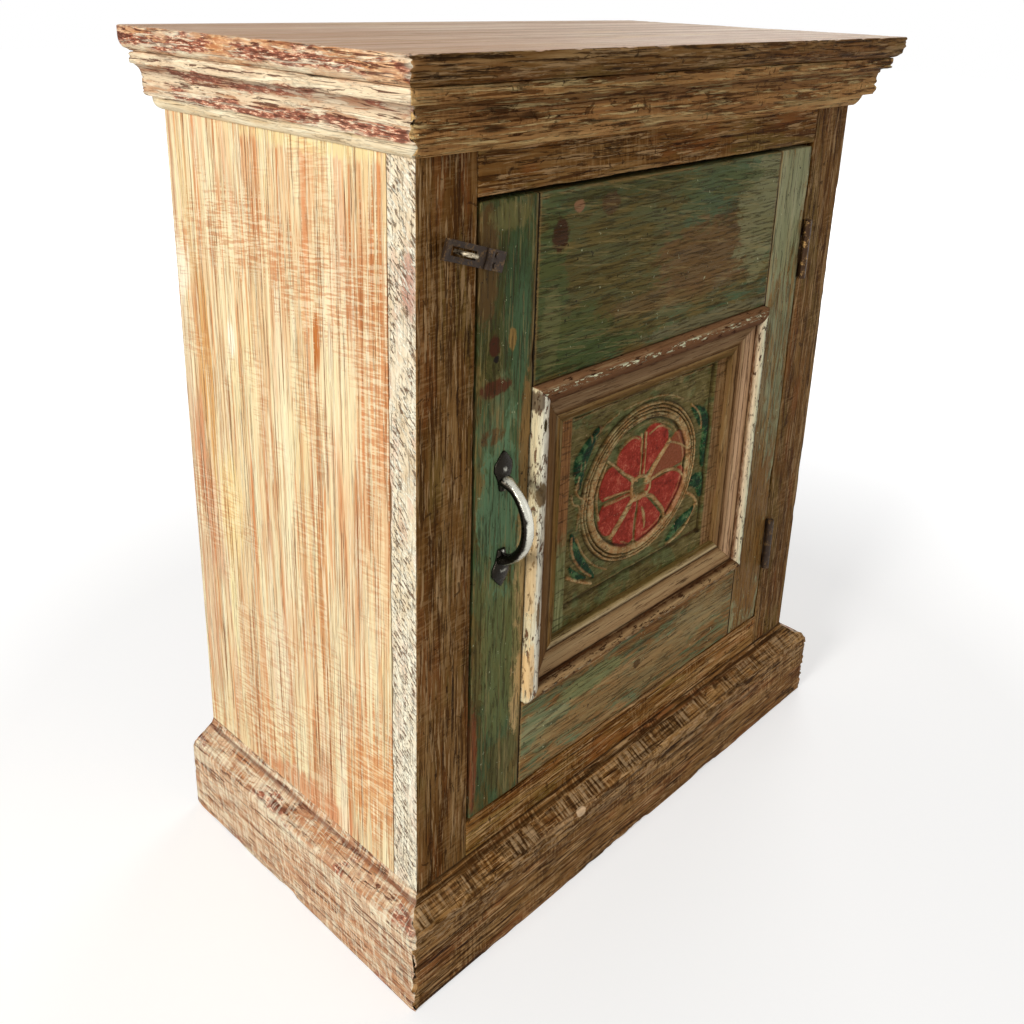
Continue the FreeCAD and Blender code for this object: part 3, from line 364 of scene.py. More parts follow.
class Finish:
    """A node material put together from noise in the object's own coordinates.

    Colours are written (red, green, blue) from 0 to 255. gain brightens these numbers, light the linear colour.
    A colour with four numbers is linear already."""

    def __init__(self, name, light=1.0, gain=1.0):
        self.light = light
        self.gain = gain
        self.colour = None
        self.material = bpy.data.materials.new(name)
        self.material.use_nodes = True
        self.tree = self.material.node_tree
        self.coordinates = self.node("ShaderNodeTexCoord").outputs["Object"]

    def node(self, kind, inputs=None, **settings):
        return add_node(self.tree, kind, inputs, **settings)

    def tone(self, colour):
        if isinstance(colour, tuple) and len(colour) == 3:
            return tint(*[value * self.gain for value in colour], self.light)
        return colour

    def noise(self, size, detail=4.0, rough=0.55, twist=0.0, turn=(0, 0, 0), shift=(0, 0, 0)):
        """Noise whose cells measure size, in millimetres."""
        scale = tuple(1 / (s * MM) for s in size)
        place = self.node("ShaderNodeMapping",
                          {"Vector": self.coordinates, "Rotation": turn, "Location": shift})
        place = self.node("ShaderNodeMapping", {"Vector": place.outputs[0], "Scale": scale})
        return self.node("ShaderNodeTexNoise", {"Vector": place.outputs[0], "Scale": 1.0, "Detail": detail,
                                                "Roughness": rough, "Distortion": twist}).outputs["Fac"]

    def grain(self, axis, across, length, *settings, shift=(0, 0, 0)):
        """Noise stretched along one axis."""
        return self.noise(along_axis(axis, across, length), *settings, shift=shift)

    def ground(self, axis, across, length, twist=0.4):
        """The fine streaks of a timber's grain, and the level made of them and of broad bands."""
        streak = self.grain(axis, across, length, 6, 0.68, twist)
        broad = self.grain(axis, across * 6, length * 3, 3, 0.5, 0.3, shift=(0.4, 0.1, 0.2))
        return streak, self.plus(self.times(streak, 0.62), self.times(broad, 0.5), -0.06)

    def ramp(self, value, stops):
        node = self.node("ShaderNodeValToRGB", {"Fac": value})
        elements = node.color_ramp.elements
        while len(elements) < len(stops):
            elements.new(0.5)
        for element, (place, colour) in zip(elements, stops):
            element.position = place
            element.color = self.tone(colour) if isinstance(colour, tuple) else (colour, colour, colour, 1)
        return node.outputs["Color"]

    def band(self, value, low, high):
        """0 below low, 1 above high, smooth between; low above high turns it round."""
        node = self.node("ShaderNodeMapRange", {"Value": value, "From Min": low, "From Max": high},
                         interpolation_type="SMOOTHSTEP")
        return node.outputs["Result"]

    def math(self, operation, a, b=0.0):
        return self.node("ShaderNodeMath", {0: a, 1: b}, operation=operation).outputs[0]

    def times(self, *values):
        result = values[0]
        for value in values[1:]:
            result = self.math("MULTIPLY", result, value)
        return result

    def plus(self, *values):
        result = values[0]
        for value in values[1:]:
            result = self.math("ADD", result, value)
        return result

    def most(self, a, b):
        return self.math("MAXIMUM", a, b)

    def rest(self, value):
        """1 less the value."""
        return self.math("SUBTRACT", 1.0, value)

    def swing(self, value, reach):
        """Noise as a sway about 0."""
        return self.times(self.math("SUBTRACT", value, 0.5), reach)

    def mix(self, share, a, b):
        return self.node("ShaderNodeMix", {0: share, 6: self.tone(a), 7: self.tone(b)}, data_type="RGBA",
                         blend_type="MIX", clamp_factor=True).outputs[2]

    def coat(self, paint, *shares):
        """Lays a paint over the colour so far, as far as the product of the shares says."""
        self.colour = self.mix(self.times(*shares), self.colour, paint)

    def field(self, name):
        return self.node("ShaderNodeAttribute", attribute_name=name).outputs["Fac"]

    def axis(self, letter):
        return self.node("ShaderNodeSeparateXYZ", {"Vector": self.coordinates}).outputs[letter]

    def oval(self, middle, reach, grain, ragged, outer, inner):
        """1 inside an oval patch (millimetres) whose edge the grain breaks up; a reach of 0 has no limit."""
        shift = [-at * MM for at in middle]
        place = self.node("ShaderNodeMapping", {"Vector": self.coordinates, "Location": shift})
        scale = [1 / (half * MM) if half else 0 for half in reach]
        inside = self.node("ShaderNodeMapping", {"Vector": place.outputs[0], "Scale": scale})
        length = self.node("ShaderNodeVectorMath", {0: inside.outputs[0]},
                           operation="LENGTH").outputs["Value"]
        return self.band(self.plus(length, self.swing(grain, ragged)), outer, inner)

    def finish(self, roughness, height, depth, specular=0.08, metallic=0.0):
        """Closes the material with its relief, whose depth is in millimetres."""
        relief = self.node("ShaderNodeBump", {"Height": height, "Strength": 1.0, "Distance": depth * MM})
        shader = self.tree.nodes["Principled BSDF"]
        for name, value in (("Base Color", self.colour), ("Roughness", roughness),
                            ("Specular IOR Level", specular),
                            ("Metallic", metallic), ("Normal", relief.outputs["Normal"])):
            put(self.tree, shader.inputs[name], value)
        return self.material


SAWN_PATCHES = (
    (-80, 460, 20, 100), (-72, 150, 22, 60), (-30, 500, 60, 36), (60, 520, 60, 30), (60, 120, 50, 40),
)
SIDE_PATCHES = (
    (-84, 455, 9, 90, 0.6, (218, 160, 110)), (144, 400, 6, 200, 0.6, (206, 176, 146)),
    (-70, 140, 24, 44, 0.65, (218, 152, 92)), (-22, 466, 3.2, 28, 1, (186, 112, 54)),
    (-19, 270, 6, 80, 0.75, (210, 144, 88)), (-12, 480, 4, 120, 0.5, (214, 150, 104)),
    (10, 88, 56, 14, 0.8, (212, 146, 104)), (116, 400, 10, 80, 0.75, (214, 160, 92)),
    (133, 330, 7, 60, 0.7, (206, 138, 98)), (96, 300, 18, 50, 0.7, (244, 218, 154)),
    (-48, 440, 16, 60, 0.6, (248, 230, 182)), (20, 360, 9, 110, 0.7, (248, 240, 198)),
    (100, 210, 5, 50, 0.7, (246, 234, 176)), (140, 480, 9, 24, 0.8, (244, 236, 210)),
    (80, 440, 4, 16, 0.9, (252, 246, 220)), (-36, 120, 4, 70, 0.8, (248, 234, 200)),
    (40, 180, 12, 60, 0.6, (240, 224, 190)), (135, 200, 10, 90, 0.6, (208, 162, 128)),
    (-20, 590, 70, 6, 0.8, (232, 212, 156)),
)
SIDE_SAW_TURN = (math.radians(7), 0, 0)


def whitewashed_side():
    """Side boards: cream wash rubbed through to orange timber, crisp upright streaks, saw marks across."""
    f = Finish("whitewashed_side")
    streak, level = f.ground("z", 2.8, 150, 0.25)
    f.colour = f.ramp(level, [(0.37, (190, 120, 70)), (0.43, (212, 158, 112)), (0.48, (223, 188, 144)),
                              (0.54, (230, 206, 160)), (0.62, (240, 226, 186))])
    zone = f.noise((60, 36, 240), 3, 0.55, 0.4, shift=(0.3, 0.2, 0.1))
    f.coat((216, 166, 136), f.band(zone, 0.55, 0.66), 0.45)
    f.coat((232, 212, 158), f.band(zone, 0.45, 0.35), 0.5)
    f.coat((206, 128, 74), f.band(f.grain("z", 5, 190, 4, 0.6, 0.2, shift=(1.1, 0.4, 0.9)), 0.575, 0.615),
           0.7)
    f.coat((238, 228, 184), f.band(f.grain("z", 4, 160, 4, 0.6, 0.2, shift=(0.1, 0.9, 0.3)), 0.55, 0.59), 0.6)
    for y, z, wide, tall, strength, paint in SIDE_PATCHES:
        f.coat(paint, f.oval((0, y, z), (0, wide, tall), streak, 3.2, 1.15, 0.75), strength)
    where = f.band(f.noise((50, 30, 120), 2, 0.5, shift=(0.9, 0.9, 0.1)), 0.36, 0.56)
    dark = f.band(f.grain("z", 2.1, 90, 4, 0.66), 0.55, 0.585)
    f.coat((182, 114, 64), dark, f.plus(f.times(where, 0.4), 0.25))
    light = f.band(f.grain("z", 2.4, 90, 4, 0.66, shift=(0.2, 0.7, 0.4)), 0.55, 0.585)
    f.coat((246, 236, 200), light, 0.6)
    thin = f.band(f.grain("z", 1.8, 170, 4, 0.7, 0.2, shift=(0.7, 0.3, 0.1)), 0.60, 0.62)
    f.coat((150, 84, 42), thin, 0.85)
    saw = f.noise(across_axis("z", 1.6, 15), 3, 0.55, turn=SIDE_SAW_TURN)
    sawn = f.times(f.band(f.noise((70, 44, 60), 3, 0.5, shift=(0.7, 0.1, 0.4)), 0.50, 0.60), 0.6)
    for y, z, wide, tall in SAWN_PATCHES:
        sawn = f.most(sawn, f.oval((0, y, z), (0, wide, tall), streak, 3.2, 1.15, 0.7))
    f.coat((246, 232, 196), f.band(saw, 0.53, 0.58), sawn, 0.4)
    f.coat((196, 120, 70), f.band(saw, 0.47, 0.42), sawn, 0.5)
    height = f.plus(f.times(streak, 0.5), f.times(dark, -0.4), f.times(light, 0.3), f.times(saw, sawn, 0.7),
                    f.times(thin, -0.6))
    return f.finish(0.66, height, 0.45)


FLECK = (9, 1.9, 6.5)
FLECK_TURN = (math.radians(46), 0, 0)


def flecked_edge():
    """The edge of the face frame: thick cream paint with short dark chips and rosy rubbed places."""
    f = Finish("flecked_edge")
    f.colour = f.ramp(f.noise((10, 7, 22), 5, 0.65), [(0.34, (216, 194, 158)), (0.5, (234, 220, 190)),
                                                      (0.66, (250, 242, 218))])
    f.coat((206, 158, 134), f.band(f.noise((30, 8, 34), 4, 0.6, shift=(0.5, 0.2, 0.7)), 0.54, 0.62), 0.4)
    up = f.axis("Z")
    f.coat((190, 156, 126), f.band(up, 0.30, 0.52), 0.18)
    f.coat((252, 246, 226), f.band(up, 0.36, 0.18), 0.35)
    flecks = f.noise(FLECK, 4, 0.7, 0.3, FLECK_TURN)
    f.coat((176, 120, 104), f.oval((0, -112, 522), (0, 7, 22), flecks, 2.4, 1.3, 0.5), 0.75)
    dark = f.times(f.band(flecks, 0.535, 0.565), f.band(f.noise((30, 12, 60), 2, 0.5), 0.34, 0.5))
    f.coat((104, 74, 52), dark, 0.9)
    pale = f.band(f.noise(FLECK, 4, 0.7, 0.3, FLECK_TURN, (0.6, 0.1, 0.4)), 0.545, 0.575)
    f.coat((252, 246, 226), pale, 0.7)
    upright = f.band(f.noise((9, 1.1, 30), 4, 0.7, shift=(0.1, 0.3, 0.3)), 0.58, 0.66)
    f.coat((178, 146, 112), upright, 0.4)
    f.coat((252, 246, 226), f.field("chip"), 0.7)
    height = f.plus(f.rest(dark), f.times(upright, -0.5), f.times(pale, 0.4))
    return f.finish(0.66, height, 0.7)


def plinth_shoulder(f):
    """The plinth's upper edge: a ribbed ledge with painted light and shade on its ribs, scuffs below it,
    painted shade along the gap above it and a pale knot.

    Gives the height of the ribs."""
    up = f.axis("Z")
    ledge = f.times(f.band(up, 0.0652, 0.0664), f.band(up, 0.0732, 0.0720))
    rib = f.noise((3.0, 40, 16), 2, 0.6, 0.2, shift=(0.1, 0.1, 0.7))
    ribbed = f.times(ledge, f.band(f.noise((40, 60, 60), 3, 0.6, shift=(0.5, 0.3, 0.1)), 0.40, 0.52))
    # Painted light on the sloped ledge, and painted highlight and shade on its ribs.
    f.coat(shaded(96, 74, 46), ribbed, 0.4)
    f.coat(shaded(138, 114, 84), f.band(rib, 0.51, 0.56), ribbed, 0.8)
    f.coat(shaded(44, 24, 6), f.band(rib, 0.48, 0.42), ribbed, 0.85)
    # Painted shade along the gap where the plinth meets the rail above it.
    f.coat(shaded(28, 14, 2), f.band(up, 0.0768, 0.0782), 0.8)
    scuffs = f.noise((14, 14, 4), 5, 0.7, 0.8, shift=(0.2, 0.8, 0.5))
    below = f.times(f.band(up, 0.040, 0.054), f.band(up, 0.066, 0.064))
    f.coat(shaded(140, 114, 84), f.band(scuffs, 0.53, 0.57), below, 0.75)
    f.coat(shaded(52, 30, 10), f.band(scuffs, 0.46, 0.42), below, 0.7)
    f.coat(shaded(176, 150, 120), f.oval((-88, 0, 63), (5.5, 0, 3.2), scuffs, 1.0, 1.1, 0.85))
    return f.times(rib, ribbed, 1.4)


FRONT_RAMP = [(0.36, (52, 27, 4)), (0.43, (74, 46, 14)), (0.50, (90, 61, 28)), (0.57, (104, 76, 42)),
              (0.66, (128, 100, 64))]
FRONT_SAW_TURN = (0, math.radians(4), 0)


def front_timber(name, axis, gain=1.0, olive=0.35, red=0.3, shoulder=False, cross=0.3, dusty=0.0):
    """The shaded front timber: worn dark brown with straw and olive streaks along its grain."""
    f = Finish(name, SHADE_GAIN, gain)
    streak, level = f.ground(axis, 3.2, 70)
    f.colour = f.ramp(level, FRONT_RAMP)
    zone = f.grain(axis, 24, 110, 3, 0.6, 0.5, shift=(0.9, 0.3, 0.6))
    f.coat((90, 78, 38), f.band(zone, 0.53, 0.62), olive)
    f.coat((104, 56, 26), f.band(zone, 0.45, 0.37), red)
    f.coat((104, 80, 56), dusty)
    saw = f.noise(across_axis(axis, 2.2, 15), 3, 0.6, turn=FRONT_SAW_TURN)
    sawn = f.band(f.noise((46, 46, 46), 2, 0.5, shift=(0.3, 0.3, 0.9)), 0.40, 0.60)
    f.coat((130, 104, 70), f.band(saw, 0.53, 0.57), sawn, cross)
    f.coat((50, 28, 6), f.band(saw, 0.47, 0.42), sawn, cross)
    dark = f.band(f.grain(axis, 2.0, 46, 4, 0.68, 0.3), 0.545, 0.58)
    f.coat((44, 22, 2), dark, 0.8)
    light = f.band(f.grain(axis, 2.1, 34, 4, 0.68, 0.3, shift=(0.3, 0.6, 0.2)), 0.55, 0.585)
    f.coat((140, 112, 78), light, 0.7)
    deep = f.band(f.grain(axis, 3.4, 64, 5, 0.72, 0.9, shift=(0.5, 0.1, 0.8)), 0.605, 0.625)
    f.coat((30, 12, 0), deep, 0.9)
    knots = f.noise((9, 9, 9), 3, 0.6, 0.8, shift=(0.6, 0.2, 0.8))
    f.coat((36, 18, 2), f.band(knots, 0.64, 0.67), 0.7)
    height = f.plus(f.times(streak, 0.5), f.times(dark, -0.6), f.times(light, 0.3), f.times(saw, sawn, 0.5),
                    f.times(deep, -0.9))
    if shoulder:
        height = f.plus(height, plinth_shoulder(f))
    f.coat((142, 112, 78), f.field("chip"), 0.55)
    # Painted shade in the section's hollows and in its cracks.
    inner = f.most(f.field("hollow"), f.times(f.field("crack"), f.band(streak, 0.56, 0.46)))
    f.coat((26, 12, 0), inner, 0.85)
    return f.finish(0.66, height, 0.9, specular=0.06)


SOFT_LINE = 0.0006


def moulded_side(name, reds=(), creams=(), clean=0.0, ochre=0.0, seed=0.0, sawn=0.0):
    """Side mouldings: peach and cream paint, flaked to maroon along some heights and clean along others."""
    f = Finish(name)
    broad = f.noise((20, 60, 5), 5, 0.6, 0.3, shift=(seed, 0.1, 0.2))
    f.colour = f.ramp(broad, [(0.38, (182, 134, 98)), (0.46, (202, 164, 130)), (0.53, (216, 188, 156)),
                              (0.62, (234, 214, 182))])
    if clean:
        f.coat(f.ramp(broad, [(0.36, (222, 196, 152)), (0.62, (244, 232, 200))]), clean)
    grit = f.noise((5, 8, 1.5), 4, 0.7, 0.3, shift=(seed, 0, 0))
    wander = f.swing(f.noise((30, 26, 30), 4, 0.6, shift=(seed, 0.6, 0.6)), 0.014)
    up = f.plus(f.axis("Z"), wander, f.swing(grit, 0.006))
    long = f.noise((60, 70, 30), 4, 0.6, 0.3, shift=(0.1, 0.7 + seed, 0.2))

    def between(low, high):
        return f.times(f.band(up, low - SOFT_LINE, low + SOFT_LINE),
                       f.band(up, high + SOFT_LINE, high - SOFT_LINE))

    flaked = 0.0
    for low, high, share in reds:
        patch = f.times(between(low, high), f.band(long, 0.62 - 0.26 * share, 0.66 - 0.26 * share))
        flaked = f.most(patch, flaked)
    for low, high, share in creams:
        f.coat((236, 216, 182), between(low, high), share)
    if ochre:
        ochres = f.ramp(grit, [(0.42, (180, 104, 56)), (0.56, (220, 158, 102)), (0.64, (248, 222, 176))])
        f.coat(ochres, f.band(long, 0.58, 0.46), ochre)
    if reds:
        maroons = f.ramp(grit, [(0.42, (104, 54, 42)), (0.50, (150, 84, 66)), (0.56, (196, 124, 94)),
                                (0.62, (246, 222, 190))])
        f.coat(maroons, flaked, 0.9)
    crack = f.noise((60, 44, 2.3), 5, 0.68, 0.8, shift=(0, 0, seed))
    cracked = f.band(crack, 0.575, 0.60)
    f.coat((92, 50, 36), cracked, 0.9 - 0.55 * clean)
    light = f.band(crack, 0.45, 0.42)
    f.coat((252, 240, 210), light, 0.55)
    height = f.plus(f.times(cracked, -0.9), f.times(grit, 0.5), f.times(light, 0.4))
    if sawn:
        saw = f.noise(across_axis("y", 2.2, 16), 3, 0.6, turn=(math.radians(12), 0, 0))
        f.coat((254, 244, 218), f.band(saw, 0.47, 0.42), sawn)
        f.coat((176, 118, 88), f.band(saw, 0.53, 0.58), sawn)
        height = f.plus(height, f.times(saw, 0.7))
    f.coat((254, 242, 214), f.field("chip"), 0.6)
    # Painted shade in the section's hollows and in its cracks.
    inner = f.most(f.field("hollow"), f.times(f.field("crack"), f.band(grit, 0.54, 0.48), 0.7))
    f.coat((110, 64, 48), inner, 0.75)
    return f.finish(0.66, height, 1.0)


def bare_top():
    """The waxed top: rosy brown timber with long fine grain."""
    f = Finish("waxed_top", TOP_GAIN)
    streak, level = f.ground("x", 2.6, 170, 0.5)
    f.colour = f.ramp(level, [(0.36, (146, 112, 88)), (0.44, (174, 144, 120)), (0.52, (190, 164, 143)),
                              (0.60, (204, 182, 162)), (0.70, (220, 202, 182))])
    f.coat((200, 174, 140), f.band(f.noise((160, 40, 40), 3, 0.6, 0.5, shift=(0.3, 0.2, 0.1)), 0.54, 0.66),
           0.5)
    f.coat((170, 130, 100), f.band(f.axis("X"), 0.0, -0.26), 0.5)
    dark = f.band(f.grain("x", 1.3, 60, 4, 0.68, 0.3), 0.55, 0.60)
    f.coat((132, 96, 74), dark, 0.55)
    f.coat((224, 206, 186), f.band(f.grain("x", 1.6, 70, 4, 0.68, 0.3, shift=(0.2, 0.3, 0.4)), 0.56, 0.62),
           0.45)
    return f.finish(0.6, f.plus(f.times(streak, 0.5), f.times(dark, -0.5)), 0.3, specular=0.04)


def plain_timber(name, axis):
    """Unpainted inside timber."""
    f = Finish(name)
    streak, level = f.ground(axis, 4.4, 150)
    f.colour = f.ramp(level, [(0.34, (104, 72, 46)), (0.5, (146, 108, 74)), (0.66, (178, 142, 102))])
    dark = f.band(f.grain(axis, 1.3, 40, 4, 0.68), 0.56, 0.66)
    f.coat((88, 58, 36), dark, 0.55)
    saw = f.noise(across_axis(axis, 2.2, 60), 3, 0.6)
    sawn = f.band(f.noise((90, 90, 90), 2, 0.5, shift=(0.7, 0.1, 0.4)), 0.46, 0.6)
    f.coat((190, 158, 120), f.band(saw, 0.54, 0.64), sawn, 0.35)
    height = f.plus(f.times(streak, 0.5), f.times(dark, -0.4), f.times(saw, sawn, 0.5))
    return f.finish(0.7, height, 0.5, specular=0.25)


SMALL_SPOT = 14


def teal_paint(name, axis, patches=(), share=0.5, pale=0.0, brown=0.0, gain=1.0, seams=()):
    """Old teal paint over brown timber, thin along the grain and gone in patches, dark along its seams.

    A patch is x, z, half width, half height, strength and what shows there: a colour, "bare" or "paint"."""
    f = Finish(name, SHADE_GAIN * gain)
    streak, level = f.ground(axis, 3.2, 60, 0.6)
    paint = f.ramp(level,
                   [(0.36, (38, 46, 20)), (0.45, (52, 66, 38)), (0.54, (66, 78, 50)), (0.66, (92, 96, 66))])
    timber = f.ramp(level,
                    [(0.36, (54, 38, 12)), (0.46, (72, 58, 26)), (0.55, (86, 72, 38)), (0.66, (112, 92, 56))])
    if brown:
        browns = f.ramp(level, [(0.34, (76, 44, 18)), (0.5, (104, 72, 40)), (0.68, (134, 106, 72))])
        timber = f.mix(brown, timber, browns)
    if pale:
        paint = f.mix(pale, paint, f.ramp(level, [(0.34, (92, 92, 62)), (0.66, (128, 124, 96))]))
    blots = f.grain(axis, 12, 44, 5, 0.68, 0.7, shift=(0.5, 0.5, 0.5))
    middle = 0.64 - 0.22 * share
    bare = f.band(f.plus(f.times(streak, 0.5), f.times(blots, 0.55)), middle - 0.06, middle + 0.07)
    for x, z, wide, tall, strength, shows in patches:
        small = min(wide, tall) < SMALL_SPOT
        cell = (4, 4, 5) if small else along_axis(axis, 7, 18)
        edge = f.noise(cell, 5, 0.72, 0.5, shift=(x * 0.01, 0, z * 0.01))
        spot = f.times(f.oval((x, 0, z), (wide, 0, tall), edge, 1.2 if small else 2.6, 1.15, 0.8), strength)
        if shows == "bare":
            bare = f.most(bare, spot)
        elif shows == "paint":
            bare = f.times(bare, f.rest(spot))
        else:
            paint = f.mix(spot, paint, shows)
            timber = f.mix(spot, timber, shows)
    f.colour = f.mix(bare, paint, timber)
    dark = f.band(f.grain(axis, 1.9, 30, 4, 0.7, 0.3), 0.545, 0.58)
    f.coat((34, 24, 4), dark, 0.6)
    tilt = (0, math.radians(-8), 0) if axis == "x" else (0, 0, 0)
    scratch = f.noise(along_axis(axis, 1.8, 40), 3, 0.66, 0.2, tilt, (0.8, 0.1, 0.3))
    f.coat((128, 110, 70), f.band(scratch, 0.59, 0.61), 0.32)
    pits = f.noise((3.6, 3.6, 5.2), 3, 0.65, shift=(0.3, 0.3, 0.6))
    f.coat((30, 24, 14), f.band(pits, 0.675, 0.70), 0.85)
    f.coat((150, 150, 118), f.band(pits, 0.30, 0.28), 0.8)
    f.coat((118, 90, 56), f.field("chip"), 0.6)
    for at, side in seams:
        away = f.times(f.math("SUBTRACT", f.axis("X"), at * MM), side)
        away = f.plus(away, f.swing(streak, 0.002))
        f.coat((108, 84, 50), f.band(away, 0.0030, 0.0018), 0.5)
        f.coat((16, 8, 2), f.band(away, 0.0012, 0.0005), 0.95)
    # Painted shade in the hollows of the section.
    f.coat((22, 14, 6), f.field("hollow"), 0.8)
    height = f.plus(f.times(f.rest(bare), 0.8), f.times(streak, 0.4), f.times(dark, -0.5))
    return f.finish(f.mix(bare, (0.5, 0.5, 0.5, 1), (0.66, 0.66, 0.66, 1)), height, 0.7)


def old_metal(name, dark, worn, metallic, rough, share=0.5, field=None):
    """Hand-worked metal: a dark skin worn bright on the high places, or, where a field is given, a painted highlight
    where that field says.
    """
    f = Finish(name)
    mottle = f.noise((5, 5, 5), 4, 0.6, 0.3)
    fine = f.noise((1.4, 1.4, 1.4), 4, 0.7)
    if field:
        # With a field, the bright places are a painted highlight laid where the field says.
        wear_and_highlight = f.band(f.plus(f.field(field), f.swing(mottle, 1.2)), 0.42, 0.92)
    else:
        middle = 0.60 - 0.2 * share
        wear_and_highlight = f.band(f.plus(f.times(mottle, 0.6), f.times(fine, 0.42)), middle - 0.04, middle + 0.08)
    f.colour = f.mix(wear_and_highlight, dark, worn)
    roughness = f.ramp(fine, [(0.3, rough - 0.1), (0.7, rough + 0.15)])
    return f.finish(roughness, f.plus(mottle, f.times(fine, 0.5)), 0.3, specular=0.5, metallic=metallic)


LEFT_PATCHES = (
    (-170, 505, 30, 60, 0.8, (46, 46, 16)), (-160, 500, 12, 56, 0.7, (46, 64, 38)),
    (-188, 525, 10, 40, 0.9, (68, 48, 22)), (-168, 552, 18, 9, 0.7, (88, 82, 46)),
    (-156, 470, 9, 40, 0.8, (56, 74, 48)), (-182, 460, 9, 26, 0.7, "bare"),
    (-180, 471, 5, 8, 0.95, (50, 22, 8)), (-178, 462, 2.4, 2.8, 1, (12, 6, 2)),
    (-164, 473, 3.5, 8, 0.85, (126, 96, 50)), (-178, 443, 14, 6, 0.9, (66, 30, 14)),
    (-160, 430, 9, 30, 0.8, "paint"), (-180, 410, 11, 6, 0.8, (74, 46, 20)),
    (-170, 352, 22, 66, 0.9, (76, 100, 72)), (-186, 300, 7, 30, 0.6, (72, 78, 44)),
    (-188, 250, 7, 60, 0.8, "bare"), (-149, 385, 5.5, 60, 0.85, (112, 84, 48)),
    (-150, 272, 6, 62, 0.95, (140, 118, 78)), (-150, 205, 6, 40, 0.95, (156, 130, 88)),
    (-168, 240, 18, 70, 0.75, (82, 86, 50)), (-160, 140, 20, 26, 0.6, "bare"),
    (-192, 160, 4, 44, 0.85, (96, 50, 26)),
)
RIGHT_PATCHES = (
    (167, 200, 30, 100, 0.9, (92, 62, 26)), (160, 520, 30, 60, 0.9, "paint"),
    (150, 320, 10, 90, 0.7, (106, 84, 54)),
)
UPPER_PATCHES = (
    (-40, 505, 150, 60, 0.6, (76, 66, 34)), (-128, 505, 14, 60, 0.7, (58, 68, 36)),
    (-100, 462, 34, 18, 0.6, (60, 70, 36)), (40, 532, 30, 14, 0.6, (56, 74, 50)),
    (86, 552, 50, 10, 0.7, (62, 76, 50)), (54, 494, 70, 28, 0.75, (92, 66, 38)),
    (20, 470, 90, 9, 0.6, (92, 68, 40)), (122, 515, 34, 50, 0.85, (104, 100, 68)),
    (60, 548, 60, 12, 0.6, (64, 72, 42)), (-90, 447, 62, 9, 0.85, (54, 64, 32)),
    (60, 441, 90, 6, 0.85, (94, 88, 62)), (-128, 470, 10, 30, 0.6, (88, 84, 50)),
    (-60, 556, 80, 5, 0.6, (52, 56, 28)), (-122, 533, 8, 12, 0.95, (46, 22, 4)),
    (-105, 550, 5.5, 4.5, 0.9, (116, 82, 58)), (-72, 548, 10, 8, 0.6, (66, 34, 18)),
)
LOWER_PATCHES = (
    (-118, 150, 30, 20, 0.85, "paint"), (-60, 165, 40, 10, 0.9, (92, 94, 60)),
    (-70, 138, 60, 10, 0.8, (114, 88, 54)), (30, 140, 60, 20, 0.7, (108, 86, 54)),
    (0, 150, 5, 5, 0.9, (60, 40, 18)), (96, 160, 44, 20, 0.8, (112, 94, 62)),
)
LEFT_SEAM, RIGHT_SEAM = (RAIL_LEFT, 1), (RAIL_RIGHT, -1)

WASH = whitewashed_side()
EDGE = flecked_edge()
FRONT_UP = front_timber("front_timber_upright", "z")
FRONT_LEVEL = front_timber("front_timber_level", "x", 1.08)
# Front finishes of pieces that also turn the corner (top edge, cornice, bed bead, plinth): darker partly as painted
# shade.
FRONT_EDGE = front_timber("front_timber_top_edge", "x", 0.98, 0.3, 0.2, cross=0.1)
FRONT_MOULD = front_timber("front_timber_moulding", "x", 1.4, 0.1, 0.15, cross=0.1, dusty=0.3)
FRONT_LOW = front_timber("front_timber_low_rail", "x", 1.24)
FRONT_PLINTH = front_timber("front_timber_plinth", "x", 1.2, 0.1, 0.35, shoulder=True, cross=0.5, dusty=0.15)
# Side finishes of the same pieces: lighter partly as painted light.
SIDE_TOP = moulded_side("cracked_top_edge", ((0.6375, 0.6450, 0.75), (0.6455, 0.6500, 0.4)),
                        ((0.6335, 0.6370, 0.6),), ochre=0.6, seed=0.37)
SIDE_MOULD = moulded_side("cracked_side_moulding", ((0.6190, 0.6245, 0.7), (0.6030, 0.6110, 0.8)),
                          ((0.6250, 0.6320, 0.7), (0.6135, 0.6175, 0.7)))
SIDE_BEAD = moulded_side("cream_side_bead", clean=0.9, seed=0.21)
SIDE_PLINTH = moulded_side("sawn_side_plinth", ((0.0640, 0.0720, 0.4), (0.0, 0.006, 0.3)),
                           ((0.052, 0.062, 0.6),), ochre=0.35, seed=0.63, sawn=0.4)
TOP = bare_top()
PLAIN = plain_timber("plain_timber", "x")
PLAIN_UP = plain_timber("plain_timber_upright", "z")
PLAIN_DEEP = plain_timber("plain_timber_deep", "y")
# The handle's bright crest and the middles of its feet are a painted highlight, laid by its field.
PULL = old_metal("iron_with_painted_highlight", (32, 28, 22), (206, 204, 190), 0.9, 0.24, field="wear_and_highlight")
IRON = old_metal("forged_iron", (60, 44, 28), (206, 192, 164), 0.5, 0.4, 0.6)
RUST = old_metal("rusty_iron", (44, 27, 10), (112, 84, 48), 0.3, 0.6, 0.25)
BRASS = old_metal("aged_brass", (58, 38, 20), (164, 128, 78), 0.75, 0.4, 0.15)
STEEL = old_metal("screw_steel", (70, 62, 54), (150, 140, 126), 0.8, 0.45)
TEAL_LEFT = teal_paint("teal_paint_left", "z", LEFT_PATCHES, 0.42, seams=((RAIL_LEFT, -1),))
TEAL_RIGHT = teal_paint("teal_paint_right", "z", RIGHT_PATCHES, 0.5, pale=0.8, brown=0.5, gain=1.25,
                        seams=((RAIL_RIGHT, 1),))
TEAL_TOP = teal_paint("teal_paint_top_rail", "x", UPPER_PATCHES, 0.55, seams=(LEFT_SEAM, RIGHT_SEAM))
TEAL_LOW = teal_paint("teal_paint_bottom_rail", "x", LOWER_PATCHES, 0.6, pale=0.3, brown=0.8, gain=1.3,
                      seams=(LEFT_SEAM, RIGHT_SEAM))


# The case

